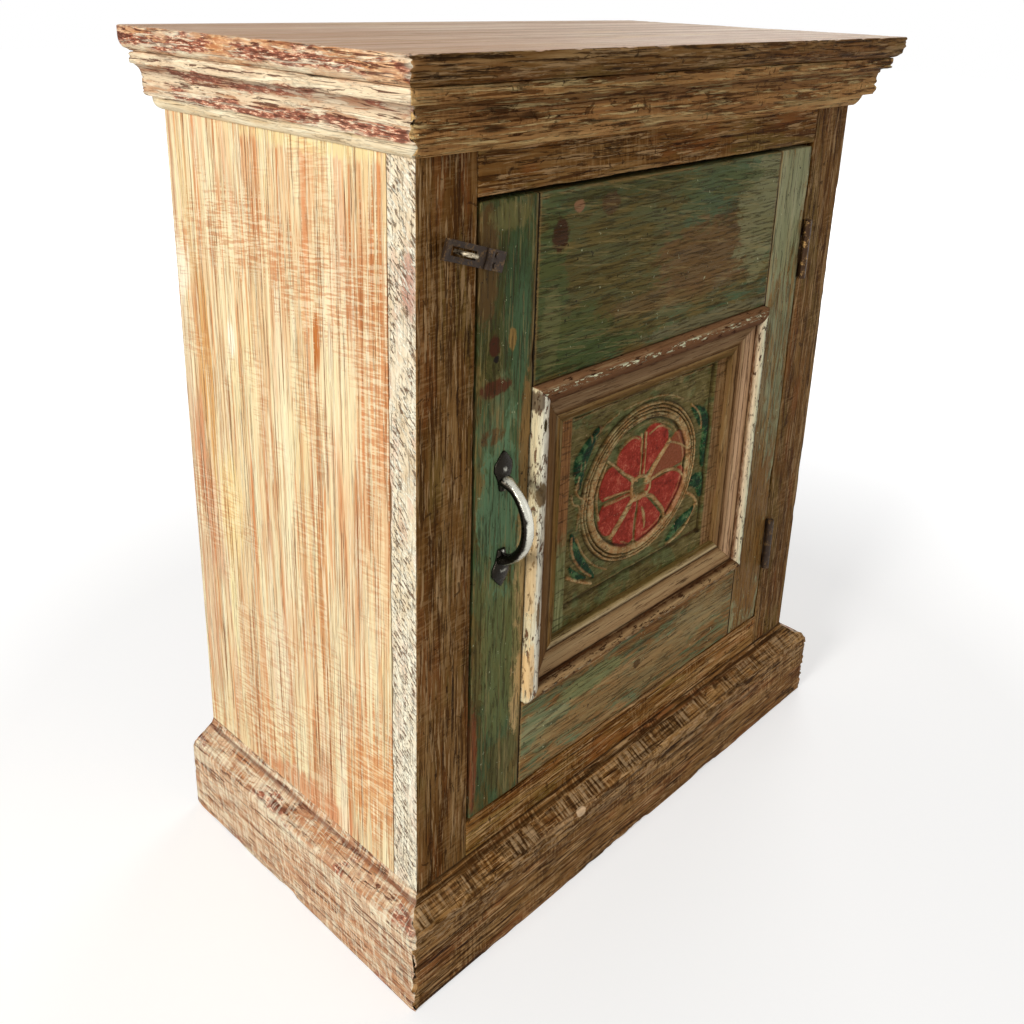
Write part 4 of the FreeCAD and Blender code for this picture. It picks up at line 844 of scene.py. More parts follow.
def worn_top():
    """The top board: sharp upper edge, rounded lower edge, cut flat at the back."""
    profile = [(out, TOP_HIGH) for out in (-16, -9, -5, -3, -1.8, -1)]
    profile += [(-0.5, 649.8), (-0.2, 649.5), (0, 649)]
    profile += [(0, z) for z in (648.2, 647.3, 646.4, 645.5, 644.6, 643.8)]
    profile += arc((-10, 643), 10, 0, -90, 17)
    profile += [(-13, TOP_LOW), (-16, TOP_LOW)]
    profile = np.array(profile)
    crest = smooth(12, 0, np.hypot(profile[:, 0], profile[:, 1] - TOP_HIGH) * 2.2)
    low = smooth(9, 0, np.hypot(profile[:, 0] + 2, profile[:, 1] - 637) * 1.2) * 0.6

    def corner(side, back):
        x = side * (TOP_SIDE + profile[:, 0])
        y = np.full(len(profile), BACK) if back else TOP_FRONT - profile[:, 0]
        return np.stack([x, y], axis=-1)

    corners = corner(-1, True), corner(-1, False), corner(1, False), corner(1, True)
    rows = []
    outward = []
    for start, end, length, look in zip(corners, corners[1:], (295, 550, 295),
                                        (LEFTWARD, FORWARD, RIGHTWARD)):
        steps = round(length / 2.2)
        shares = [k / steps for k in range(steps)]
        for close in (0.8, 1.6, 3.2, 4.2):
            shares += [close / length, 1 - close / length]
        if look == RIGHTWARD:
            shares.append(1.0)
        for share in sorted(shares):
            rows.append(np.concatenate([start * (1 - share) + end * share, profile[:, 1:]], axis=1))
            outward.append(look)
    places = np.array(rows)
    outward = np.array(outward, float)[:, None, :]
    lean = np.where(profile[:, 1] > 645, -1.0, 0.55)
    rough = layered(places, (7, 7, 2.2), 5) + 0.4 * noise(places, (24, 24, 6), 9)
    chip = smooth(0.1, 0.6, rough) * (crest + low)[None, :]
    drop = np.zeros_like(places)
    drop[..., 2] = lean[None, :] * np.where(crest > 0.05, 1, 0.4)[None, :] * 0.8
    open_face = np.where(np.arange(len(profile)) > 1, 1, 0)[None, :]
    split = layered(places, (30, 30, 1.9), 33) + 0.35 * noise(places, (26, 26, 5), 39)
    crack = smooth(0.12, 0.40, split) * open_face * smooth(-17, -8, profile[:, 0])[None, :]
    gouge = np.where(np.abs(outward[..., :1]) > 0.5, 1.0, 0.5) * crack[..., None]
    places = places + (drop - outward * 1.1) * (chip * open_face)[..., None] - outward * gouge
    ends = np.minimum(np.abs(places[..., 0] + TOP_SIDE), np.abs(places[..., 0] - TOP_SIDE))
    ends = ends + np.abs(places[..., 1] - TOP_FRONT)
    notch, sway = corner_noise(places, 87)
    near = np.clip(1 - ends / 6, 0, 1) ** 1.4 * notch * open_face
    sway = near * 1.4 * sway
    places[..., 0] -= np.sign(places[..., 0]) * (near * 1.9 - np.maximum(sway, -near))
    places[..., 1] += near * 1.9 - np.maximum(-sway, -near)
    chip = np.maximum(chip, near)
    places[[0, -1], :, 1] = BACK
    count, around = chip.shape
    faces = [(a, d, c, b) for a, b, c, d in quads(count, around)]
    kinds = []
    for look in outward[:-1, 0, 1]:
        # Front edge darker and side edges lighter, partly as painted shade and painted light on the one board.
        kinds += [0] * 6 + [1 if look < 0 else 2] * (around - 7)
    top = [j * around for j in range(count)]
    bottom = [j * around + around - 1 for j in range(count)]
    back = list(range(around)) + [(count - 1) * around + k for k in range(around)][::-1]
    faces += [top[::-1], bottom, back]
    kinds += [0, 0, 3]
    new_piece("worn_top_board", "top_board", "case", [TOP, FRONT_EDGE, SIDE_TOP, PLAIN],
              places.reshape(-1, 3), faces, kinds, {"chip": chip.ravel(), "crack": crack.ravel()})


def round_the_case(kind, section, base, front_finish, side_finish, **settings):
    """Front, left and right lengths of one moulding, mitred at the two front corners.

    Its finish is darker on the front and lighter on the sides, partly as painted shade and painted light.
    """
    def hidden(point):
        return point[0] < 0.01

    wide, deep = 2 * SIDE, BACK - FRONT
    for end, finish, x, y, along, out, length, mitre, corner, seed in (
            ("_front", front_finish, -SIDE, FRONT, RIGHTWARD, FORWARD, wide, (-1, 1), (1, 1), 3),
            ("_left", side_finish, -SIDE, BACK, FORWARD, LEFTWARD, deep, (0, 1), (0, 1), 4),
            ("_right", side_finish, SIDE, FRONT, REARWARD, RIGHTWARD, deep, (-1, 0), (1, 0), 5)):
        sweep("worn_" + kind + end, kind + end, "case", "brown_paint", [finish], section, (x, y, base), along,
              out,
              UPWARD, length, mitre=mitre, corner=corner, hidden=hidden, seed=seed, **settings)


def board(node, body, slot_name, materials, low, high, back, axis, second, wear, seed):
    """A plank of the face frame or the door between two corners (x, z), its face at the front."""
    plank("worn_" + node.removeprefix("frame_"), node, body, slot_name, materials, (low[0], FRONT, low[1]),
          (high[0], back, high[1]), axis, wear=wear, second=second, seed=seed)


worn_top()
CROWN = [(0, 0), (15.2, 0), (15.2, 13.5)] + arc((23.5, 13.5), 8.3, 180, 90, 9) + [(23.5, 30), (0, 30)]
BED = [(0, 0)] + arc((0, 8.7), 8.7, -90, 0, 9) + [(8.7, 10), (0, 10)]
PLINTH = [(0, 0), (21, 0), (21, 60), (20.8, 62), (20.2, 63.8), (19.2, 65.2), (17.6, 66.3), (3, 74.5), (0, 79)]
round_the_case("cornice", CROWN, CORNICE_LOW, FRONT_MOULD, SIDE_MOULD, wear=1.4, spacing=1.0, cracks=0.9)
round_the_case("bed_bead", BED, BEAD_LOW, FRONT_MOULD, SIDE_BEAD, wear=0.5, spacing=1.2, step=2.6)
round_the_case("plinth", PLINTH, 0, FRONT_PLINTH, SIDE_PLINTH, wear=1.6, spacing=1.5, step=2.6, cracks=0.45)

for node, materials, low, high, axis, second, wear, seed in (
        ("frame_stile_left", [FRONT_UP, EDGE], (-SIDE, 44.5), (-197, TOP_LOW), 2, LEFTWARD, 1.0, 21),
        ("frame_stile_right", [FRONT_UP, EDGE], (193, 44.5), (SIDE, TOP_LOW), 2, RIGHTWARD, 1.0, 22),
        ("frame_rail_top", [FRONT_LEVEL], (-197, 566), (193, TOP_LOW), 0, None, 0.8, 23),
        ("frame_rail_bottom", [FRONT_LOW], (-197, 44.5), (193, 109.5), 0, None, 0.8, 24)):
    board(node, "case", "brown_paint", materials, low, high, FRAME_BACK, axis, second, wear, seed)


# The door

for node, materials, low, high, axis, wear, seed in (
        ("door_stile_left", [TEAL_LEFT, PLAIN_UP], (-195, 111.5), (RAIL_LEFT, 563), 2, 1.0, 31),
        ("door_stile_right", [TEAL_RIGHT, PLAIN_UP], (RAIL_RIGHT, 111.5), (191, 563), 2, 0.9, 32),
        ("door_rail_top", [TEAL_TOP, PLAIN], (RAIL_LEFT, 435), (RAIL_RIGHT, 563), 0, 0.7, 33),
        ("door_rail_bottom", [TEAL_LOW, PLAIN], (RAIL_LEFT, 111.5), (RAIL_RIGHT, 186), 0, 0.7, 34)):
    board(node, "door", "teal_paint", materials, low, high, DOOR_BACK, axis, REARWARD, wear, seed)


STRIP_WIDE = 36


def strip_finish(name, axis, bands, under, pit, flake, streak, fluting=0.15, patches=()):
    """The raised moulding's paint and painted light and shade, in bands across it that its own wear breaks up.

    A band is its distance from the outer edge and its colour."""
    f = Finish(name, SHADE_GAIN)
    grain = f.grain(axis, 2.8, 60, 6, 0.68, 0.3)
    hair = f.grain(axis, 1.9, 36, 4, 0.7)
    blot = f.grain(axis, 2.4, 8, 5, 0.7, 0.4, shift=(0.3, 0.1, 0.6))
    across = f.field("across")
    place = f.plus(across, f.swing(blot, 0.0022))
    f.colour = f.ramp(f.times(place, 1 / (STRIP_WIDE * MM)),
                      [(at / STRIP_WIDE, paint) for at, paint in bands])
    f.coat(streak, f.band(grain, 0.53, 0.64), 0.5)
    f.coat((150, 128, 94), f.band(grain, 0.47, 0.36), 0.35)
    f.coat((44, 24, 8), f.band(hair, 0.545, 0.63), f.plus(0.35, f.times(f.band(across, 0.012, 0.015), 0.4)))
    # Painted shade: dark stripes stand for the shade in flutes along the band, which the section doesn't cut; the
    # relief gives them only a bump.
    flute = f.band(f.math("SINE", f.times(across, 1450.0)), 0.7, 0.98)
    fluted = f.times(flute, f.band(across, 0.0145, 0.0165), f.band(across, 0.0285, 0.0275), 0.55)
    f.coat((58, 34, 14), fluted, fluting)
    pits = f.times(f.band(blot, pit, pit + 0.035), f.band(across, 0.0135, 0.0125))
    f.coat(under, pits, 0.92)
    crest = f.times(f.band(across, 0.0015, 0.0032), f.band(across, 0.0066, 0.0052))
    flakes = f.times(f.band(f.grain(axis, 2.2, 9, 4, 0.7, shift=(0.6, 0.6, 0.2)), 0.53, 0.56), crest, flake)
    f.coat((204, 178, 148), flakes)
    for x, z, wide, tall, strength, paint in patches:
        f.coat(paint, f.oval((x, 0, z), (wide, 0, tall), blot, 1.8, 1.15, 0.85), strength)
    # Painted shade in the hollows of the section.
    f.coat((26, 12, 4), f.field("hollow"), 0.85)
    height = f.plus(f.times(f.rest(pits), 0.7), f.times(grain, 0.5), f.times(hair, 0.4), f.times(flakes, 0.5),
                    f.times(fluted, -0.6))
    return f.finish(0.66, height, 0.8, specular=0.05)


# The bands hold painted light and shade beside the paint: on each length the bead's flank towards the upper left is
# lighter and its flank towards the lower right darker, and the creases at the bead's foot (about 12.5 to 14) and
# where the band meets the inner flat (about 28.5 to 29) are painted shade.
WHITE_STRIP = dict(
    bands=[(0, tint(226, 212, 172)), (2.4, tint(240, 230, 198)), (5, tint(250, 244, 222)),
           (8.4, tint(238, 226, 202)), (10.2, (84, 54, 30)), (14, (48, 28, 10)), (17, (84, 58, 30)),
           (26, (90, 64, 36)), (29, (60, 40, 14)), (31, (110, 80, 40)), (36, (78, 62, 26))],
    under=(74, 46, 28), pit=0.565, flake=0.0, streak=(70, 44, 20),
    patches=((-142, 425, 3.2, 7, 0.85, (50, 32, 18)), (-137.5, 408, 1.3, 5, 1, (48, 40, 24)),
             (-138, 357, 4.5, 9, 0.95, (84, 66, 42)), (-136, 431, 5, 2.5, 0.9, (70, 50, 38)),
             (-142, 300, 2, 40, 0.6, (150, 122, 84)), (-137, 262, 1.5, 12, 0.9, (92, 70, 44)),
             (-141, 214, 2.6, 24, 0.6, (168, 132, 84))))
DARK_STRIP = dict(
    bands=[(0, (102, 72, 48)), (7, (90, 60, 38)), (12.5, (50, 26, 8)), (15, (98, 74, 50)),
           (24, (112, 88, 62)),
           (27.5, (88, 62, 34)), (28.6, (50, 28, 8)), (30, (126, 98, 58)), (32, (90, 66, 34)),
           (36, (70, 54, 24))],
    under=(40, 18, 6), pit=0.60, flake=1.0, streak=(84, 62, 40))
ROSY_STRIP = dict(
    bands=[(0, (64, 38, 18)), (5.0, (76, 46, 24)), (6.2, (206, 180, 152)), (11.8, (190, 160, 132)),
           (13, (84, 54, 32)), (14.4, (134, 104, 76)), (20, (156, 126, 98)), (27, (112, 84, 56)),
           (29, (64, 40, 16)), (31, (116, 86, 54)), (36, (100, 76, 44))],
    under=(50, 26, 10), pit=0.575, flake=0.5, streak=(110, 82, 58), fluting=1.0)
BROWN_STRIP = dict(
    bands=[(0, (64, 36, 14)), (4, (108, 76, 44)), (9, (142, 114, 78)), (12.8, (50, 26, 8)),
           (15, (130, 102, 70)),
           (22, (142, 116, 82)), (27.5, (118, 90, 58)), (28.8, (44, 24, 6)), (31, (166, 146, 110)),
           (34, (132, 112, 74)), (36, (90, 74, 38))],
    under=(44, 22, 6), pit=0.56, flake=0.3, streak=(80, 52, 28))


def raised_moulding():
    """Four mitred lengths round the panel: a bead outside, a sloping band and a thin inner line."""
    section = [(0, 0), (STRIP_WIDE, 0), (STRIP_WIDE, 5), (29, 5), (14, 10), (13, 9.5), (13, 11)]
    section += [(6.5 + 6.5 * math.cos(t), 11 + 5 * math.sin(t)) for t in np.linspace(0.12, math.pi - 0.12,
                                                                                     13)]
    section += [(0, 11)]
    left, right, low, high = RAIL_LEFT + 0.5, RAIL_RIGHT - 0.5, 186.5, 434.5
    wide, tall = right - left, high - low
    for side, axis, x, z, along, inward, length, paint, seed in (
            ("left", "z", left, high, DOWNWARD, RIGHTWARD, tall, WHITE_STRIP, 41),
            ("bottom", "x", left, low, RIGHTWARD, UPWARD, wide, BROWN_STRIP, 42),
            ("right", "z", right, low, UPWARD, LEFTWARD, tall, ROSY_STRIP, 43),
            ("top", "x", right, high, LEFTWARD, DOWNWARD, wide, DARK_STRIP, 44)):
        finish = strip_finish("moulding_paint_" + side, axis, **paint)
        sweep("worn_panel_moulding_" + side, "panel_moulding_" + side, "door", "moulding_paint", [finish],
              section,
              (x, PANEL_FACE, z), along, inward, FORWARD, length, mitre=(1, -1), step=1.8, spacing=0.9,
              wear=0.9,
              ripple=0.15, seed=seed, hidden=lambda point: point[1] < 0.01, round_by=0.55, grain=5.0)


raised_moulding()


def carved_finish():
    """Carved panel paint: olive ground, tan ridges and veins, crimson petals, dark teal leaves, painted shade in the
    grooves.
    """
    f = Finish("carved_panel_paint", SHADE_GAIN)
    streak = f.noise((30, 8, 2.2), 6, 0.66, 0.5)
    blot = f.noise((8, 8, 8), 5, 0.66, 0.4)
    fine = f.noise((2.0, 2.0, 2.0), 4, 0.7)
    level = f.plus(f.times(streak, 0.55), f.times(blot, 0.45))
    f.colour = f.ramp(level, [(0.36, (54, 42, 12)), (0.45, (72, 62, 28)), (0.53, (86, 76, 42)),
                              (0.64, (116, 100, 64))])
    green = f.band(f.noise((22, 22, 22), 4, 0.6, 0.3, shift=(0.4, 0.1, 0.8)), 0.49, 0.58)
    f.coat(f.ramp(level, [(0.36, (46, 54, 22)), (0.64, (92, 98, 62))]), green, 0.7)
    upright = f.noise((2.2, 8, 40), 5, 0.66, 0.3)
    left_edge = f.band(f.axis("X"), -0.0895, -0.0925)
    upper = f.band(f.plus(f.axis("Z"), f.times(blot, 0.05)), 0.305, 0.330)
    f.coat(f.ramp(upright, [(0.4, (80, 48, 18)), (0.6, (120, 82, 46))]), left_edge, upper)
    f.coat(f.ramp(upright, [(0.4, (80, 82, 46)), (0.6, (128, 128, 88))]), left_edge, f.rest(upper), 0.8)
    right_edge = f.band(f.axis("X"), 0.0905, 0.0935)
    f.coat(f.ramp(upright, [(0.4, (84, 52, 24)), (0.6, (126, 94, 62))]), right_edge, 0.8)
    f.coat(f.ramp(blot, [(0.40, (2, 20, 6)), (0.52, (14, 44, 20)), (0.60, (60, 84, 50))]), f.field("leaf"))
    crimson = f.ramp(f.plus(f.times(blot, 0.6), f.times(fine, 0.4)),
                     [(0.38, (84, 20, 8)), (0.46, (114, 32, 18)), (0.54, (130, 42, 30)),
                      (0.62, (152, 78, 58))])
    rust = f.ramp(fine, [(0.36, (92, 44, 20)), (0.6, (116, 62, 38))])
    f.coat(f.mix(f.field("rust"), crimson, rust), f.field("petal"))
    tan = f.ramp(f.plus(f.times(fine, 0.5), f.times(blot, 0.5)),
                 [(0.38, (116, 76, 38)), (0.48, (156, 114, 72)), (0.58, (196, 156, 112))])
    worn = f.band(f.plus(f.times(fine, 0.7), f.times(blot, 0.5)), 0.50, 0.62)
    line = f.field("line")
    f.coat(tan, line, f.plus(f.times(f.rest(worn), 0.3), 0.75))
    # Painted shade in the grooves beside the ridges and round the cut edge of the ground.
    f.coat((28, 16, 2), f.field("groove"), 0.92)
    etched = f.band(f.noise((18, 18, 2.2), 5, 0.7, 0.6, shift=(0.2, 0.2, 0.9)), 0.56, 0.60)
    etched = f.times(etched, f.rest(f.field("petal")))
    f.coat((44, 30, 8), etched, 0.55)
    f.coat((170, 136, 104), f.band(f.noise((2.6, 2.6, 2.6), 3, 0.7, shift=(0.9, 0.2, 0.2)), 0.67, 0.71), 0.55)
    height = f.plus(f.times(streak, 0.5), f.times(fine, 0.5), f.times(etched, -0.6), f.times(line, 0.5))
    return f.finish(0.55, height, 0.5)


def inside_line(x, z, track, halves):
    """How far inside a drawn line each point is: 1 at its middle, 0 at its edge, below 0 outside."""
    best = np.full(x.shape, -9.0)
    halves = np.interp(np.linspace(0, 1, len(track)), np.linspace(0, 1, len(halves)), halves)
    for k in range(len(track) - 1):
        (ax, az), (bx, bz) = track[k], track[k + 1]
        span = (bx - ax) ** 2 + (bz - az) ** 2
        share = np.clip(((x - ax) * (bx - ax) + (z - az) * (bz - az)) / span, 0, 1)
        away = np.hypot(x - ax - share * (bx - ax), z - az - share * (bz - az))
        best = np.maximum(best, 1 - away / (halves[k] + share * (halves[k + 1] - halves[k])))
    return best


def curved(points, steps=6):
    """A smooth line through the given points."""
    points = np.array([points[0], *points, points[-1]], float)
    result = []
    for k in range(1, len(points) - 2):
        for t in np.linspace(0, 1, steps, endpoint=False):
            a, b, c, d = points[k - 1:k + 3]
            result.append(tuple(0.5 * (2 * b + (c - a) * t + (2 * a - 5 * b + 4 * c - d) * t ** 2
                                       + (3 * b - a - 3 * c + d) * t ** 3)))
    return result + [tuple(points[-1])]


# Drawn lines of the carving: points (x, z), half widths along them, and strength

VEINS = (
    ([(-3.2, 322), (-3.6, 342), (-4, 357)], (0.9, 1.0), 0.8),
    ([(1.8, 322), (1.8, 342), (1.4, 357)], (0.9, 1.1), 0.8),
    ([(6, 314), (18, 326), (34, 341)], (2.2, 2.6, 2.0), 1.0),
    ([(33, 340), (48, 334), (60, 325)], (0.8, 0.9), 0.7),
    ([(8, 312), (25, 315), (42, 313), (54, 306), (60, 296), (57, 286)], (1.6, 1.5, 1.1, 0.9), 0.85),
    ([(-6, 304), (12, 299), (24, 289), (33, 278), (36, 264)], (1.5, 1.7, 1.3, 0.9), 0.9),
    ([(-4, 298), (-6, 280), (-5, 262)], (0.7, 0.9), 0.45),
    ([(-9, 305), (-22, 291), (-36, 279)], (2.6, 2.9, 2.4), 1.0),
    ([(-10, 312), (-28, 314), (-47, 316)], (0.8, 0.9), 0.8),
    ([(-10, 309), (-28, 309), (-46, 310)], (0.8, 1.2), 0.7),
    ([(-6, 318), (-25, 331), (-45, 347)], (1.2, 1.0), 0.8),
    ([(3, 291), (6, 284), (8, 272)], (1.2, 1.8, 0.9), 0.8),
    ([(-12, 321), (-12, 306), (-4, 301), (10, 305), (9, 316), (-3, 321), (-12, 319)], (1.7, 1.5), 0.9),
    ([(-30, 352), (-16, 357), (-8, 354)], (0.8, 0.7), 0.7),
    ([(6, 355), (20, 358), (34, 350)], (0.9, 0.8), 0.7),
    ([(-46, 344), (-54, 330), (-56, 314), (-52, 300)], (0.9, 1.1, 0.8), 0.8),
    ([(-22, 270), (-6, 262), (14, 260)], (0.7, 0.6), 0.4),
)
RIDGES = (
    ([(-78, 344), (-81, 334), (-75, 326), (-66, 323)], (0.9, 1.0), 0.8),
    ([(-86, 332), (-83, 324), (-76, 318), (-77, 300)], (0.8, 0.7), 0.7),
    ([(-73.5, 324), (-74, 310), (-73, 298)], (0.8, 0.6), 0.6),
    ([(-83, 296), (-82, 284), (-74, 268), (-58, 253)], (1.1, 1.0, 0.9), 0.75),
    ([(-77, 293), (-68, 276), (-54, 261), (-38, 251)], (0.8, 0.9, 0.7), 0.65),
    ([(-86, 263), (-72, 254), (-57, 246)], (1.3, 1.2), 0.95),
    ([(36, 262), (50, 270), (64, 280)], (1.0, 0.8), 0.6),
    ([(42, 243), (57, 245), (71, 253), (81, 267)], (0.9, 1.2, 1.0), 0.8),
    ([(66, 283), (76, 276), (84, 266)], (1.6, 1.2), 0.8),
    ([(-62, 372), (-50, 378), (-34, 383)], (0.7, 0.7), 0.5),
    ([(-28, 384), (0, 385), (26, 382), (50, 372)], (0.7, 0.8), 0.5),
    ([(62, 364), (74, 352), (79, 338)], (0.9, 0.8), 0.6),
    ([(-88, 392), (0, 393.5), (88, 392)], (0.7, 0.6), 0.45),
    ([(-88, 240.5), (0, 241), (88, 240)], (0.6, 0.6), 0.35),
)
LEAVES = (
    ([(-56, 377), (-69, 366), (-77, 352), (-77, 336)], (2.5, 7.5, 9, 3.5)),
    ([(-83, 298), (-78, 281), (-68, 266), (-54, 251)], (2, 5.5, 5.5, 1.5)),
    ([(64, 360), (78, 350), (87, 336), (85, 318), (86, 302)], (2.5, 8, 7, 5, 2.5)),
    ([(68, 293), (82, 289), (87, 276)], (3.5, 8.5, 5)),
    ([(43, 247), (56, 255), (68, 259), (80, 264)], (2, 6, 6, 2)),
    ([(-84, 270), (-76, 261), (-64, 254)], (1.5, 3.5, 1.5)),
)

# Petals: first and last angle, length, and 1 for crimson or 0 for rust

PETALS = ((88, 140, 47, 1), (140, 180, 52, 1), (-180, -135, 52, 1), (-135, -92, 51, 1), (-92, -45, 55, 1),
          (-45, 2, 66, 1), (2, 38, 66, 0), (38, 88, 53, 1))


def carved_panel():
    """The panel with its ground cut back round a flower in a double ring, leaves beside the ring."""
    left, right, low, high = -151.5, 151.0, 178.0, 443.0
    x_marks = np.concatenate([np.linspace(left, -108, 12)[:-1], np.arange(-108, 107.6, 0.75),
                              np.linspace(108, right, 12)])
    z_marks = np.concatenate([np.linspace(low, 221, 12)[:-1], np.arange(221, 399.9, 0.75),
                              np.linspace(400.5, high, 12)])
    x, z = np.meshgrid(x_marks, z_marks, indexing="ij")
    places = np.stack([x, np.full_like(x, PANEL_FACE), z], axis=-1)
    wx = x + 0.9 * layered(places, 15, 61)
    wz = z + 0.9 * layered(places, 13, 62)
    edge = np.maximum(np.abs(wx + 0.25) - 89.5, np.abs(wz - 317) - 77.5)
    inside = smooth(0.9, -0.5, edge)
    dx, dz = wx + 0.25, wz - 315.5
    radius = np.hypot(dx / 73, dz / 65.5)
    turn = np.degrees(np.arctan2(dz, dx))
    inward = (1 - radius) * 69

    def ridge(middle, half, soft=0.7):
        return smooth(half + soft, half, np.abs(inward - middle))

    top = smooth(60, 30, np.abs(turn - 95))
    outer = ridge(0.9, 0.7) * 0.9
    second = ridge(4.0, 0.6) * 0.85
    main = ridge(9.4, 2.9) * (1 - 0.85 * top * smooth(1.2, 0.4, np.abs(inward - 8.6)))
    thin = ridge(17.0, 0.5) * 0.45 * smooth(110, 80, np.abs(turn - 10))
    rings = np.maximum.reduce([outer, second, main, thin])
    weak = 0.72 + 0.28 * smooth(-0.5, 0.5, noise(places, 16, 66)) - 0.35 * top * smooth(-0.2, 0.6,
                                                                                        noise(places, 9, 67))

    fx, fz = wx + 3, wz - 312
    reach = np.hypot(fx, fz)
    angle = np.degrees(np.arctan2(fz, fx))
    petal = np.zeros_like(x)
    rust = np.zeros_like(x)
    for start, end, length, red in PETALS:
        half = (end - start) / 2
        off = ((angle - (start + end) / 2 + 180) % 360 - 180) / half
        limit = length * (1 - 0.17 * np.abs(off) ** 3)
        clear = (1 - np.abs(off)) * half * math.pi / 180 * reach
        here = smooth(limit + 0.6, limit - 0.8, reach) * smooth(0.8, 1.8, clear) * smooth(8, 11, reach)
        here = here * (np.abs(off) < 1)
        petal = np.maximum(petal, here)
        rust = np.maximum(rust, here * (1 - red))

    def drawn(lines):
        result = np.zeros_like(x)
        for track, halves, strength in lines:
            depth = inside_line(wx, wz, curved(track), halves)
            result = np.maximum(result, strength * smooth(-0.25, 0.35, depth))
        return result

    veins, ridges = drawn(VEINS), drawn(RIDGES)
    leaf = np.zeros_like(x)
    leaf_dome = np.zeros_like(x)
    leaf_x = wx + 0.8 * noise(places, 4, 68)
    leaf_z = wz + 0.8 * noise(places, 4, 69)
    for track, halves in LEAVES:
        depth = inside_line(leaf_x, leaf_z, curved(track), halves)
        leaf = np.maximum(leaf, smooth(0.0, 0.2, depth))
        leaf_dome = np.maximum(leaf_dome, smooth(0.0, 0.5, depth))
    scratch = smooth(0.25, 0.45, noise(places, (2.2, 9, 7), 70)) * leaf * (x < 0) * (z > 320)
    leaf *= smooth(0.3, -0.6, inward)
    leaf_dome *= smooth(0.3, -0.6, inward)
    line = np.maximum.reduce([rings * weak, veins, ridges, 0.45 * scratch]) * inside
    petal *= (1 - veins)
    petal_hill = petal * (0.55 + 0.25 * np.clip(1 - reach / 60, 0, 1))
    hill = np.maximum.reduce([rings * 0.95, petal_hill, veins, ridges * 0.9, leaf_dome * 0.7])
    # groove marks the channels beside the ridges and round the cut edge, where the finish paints shade.
    beside = np.maximum.reduce([ridge(2.5, 0.5, 0.5), ridge(5.6, 0.5, 0.5), ridge(13.6, 0.9),
                                ridge(-0.9, 0.4, 0.6)])
    beside = np.maximum(beside, top * np.maximum(ridge(8.6, 0.5, 0.5), ridge(11.2, 0.4, 0.4)))
    beside = beside * (1 - veins) * (1 - ridges) * (0.7 + 0.3 * noise(places, 12, 71))
    cut = smooth(1.6, 0.5, np.abs(edge + 0.4))
    groove = np.clip(np.maximum(beside, cut * 0.8), 0, 1)
    groove *= smooth(-1.6, 0.4, -edge)
    groove = np.maximum(groove, smooth(1, 0.4, np.hypot((wx - 87) / 6, (wz - 239.5) / 2.4)))
    depth = 2.0 * inside * (1 - np.clip(hill, 0, 1)) + 0.4 * inside
    depth += 0.4 * (0.5 + 0.5 * layered(places, (9, 9, 2.6), 64)) * inside + 0.55 * groove
    depth += 0.08 + 0.08 * noise(places, (14, 14, 2.2), 65)
    places[..., 1] = PANEL_FACE + np.clip(depth, 0, 3.3)
    points = [tuple(p) for p in places.reshape(-1, 3)]
    faces = [(a, d, c, b) for a, b, c, d in quads(*x.shape)]
    rim = [0] + border(*x.shape)[:0:-1]
    base = len(points)
    total = len(rim)
    kinds = [0] * len(faces) + [1] * (total + 1)
    back = float(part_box("carved_panel")[1][1]) / MM
    points += [(points[index][0], back, points[index][2]) for index in rim]
    for k in range(total):
        following = (k + 1) % total
        faces.append((rim[following], rim[k], base + k, base + following))
    faces.append(tuple(base + k for k in range(total)))
    fields = {name: np.concatenate([np.clip(values, 0, 1).ravel(), np.zeros(total)]) for name, values in (
        ("line", line), ("petal", petal * inside), ("leaf", leaf * inside), ("groove", groove),
        ("rust", rust))}
    new_piece("carved_rosette_panel", "carved_panel", "door", [carved_finish(), PLAIN_UP],
              points,
              faces, kinds, fields)


carved_panel()


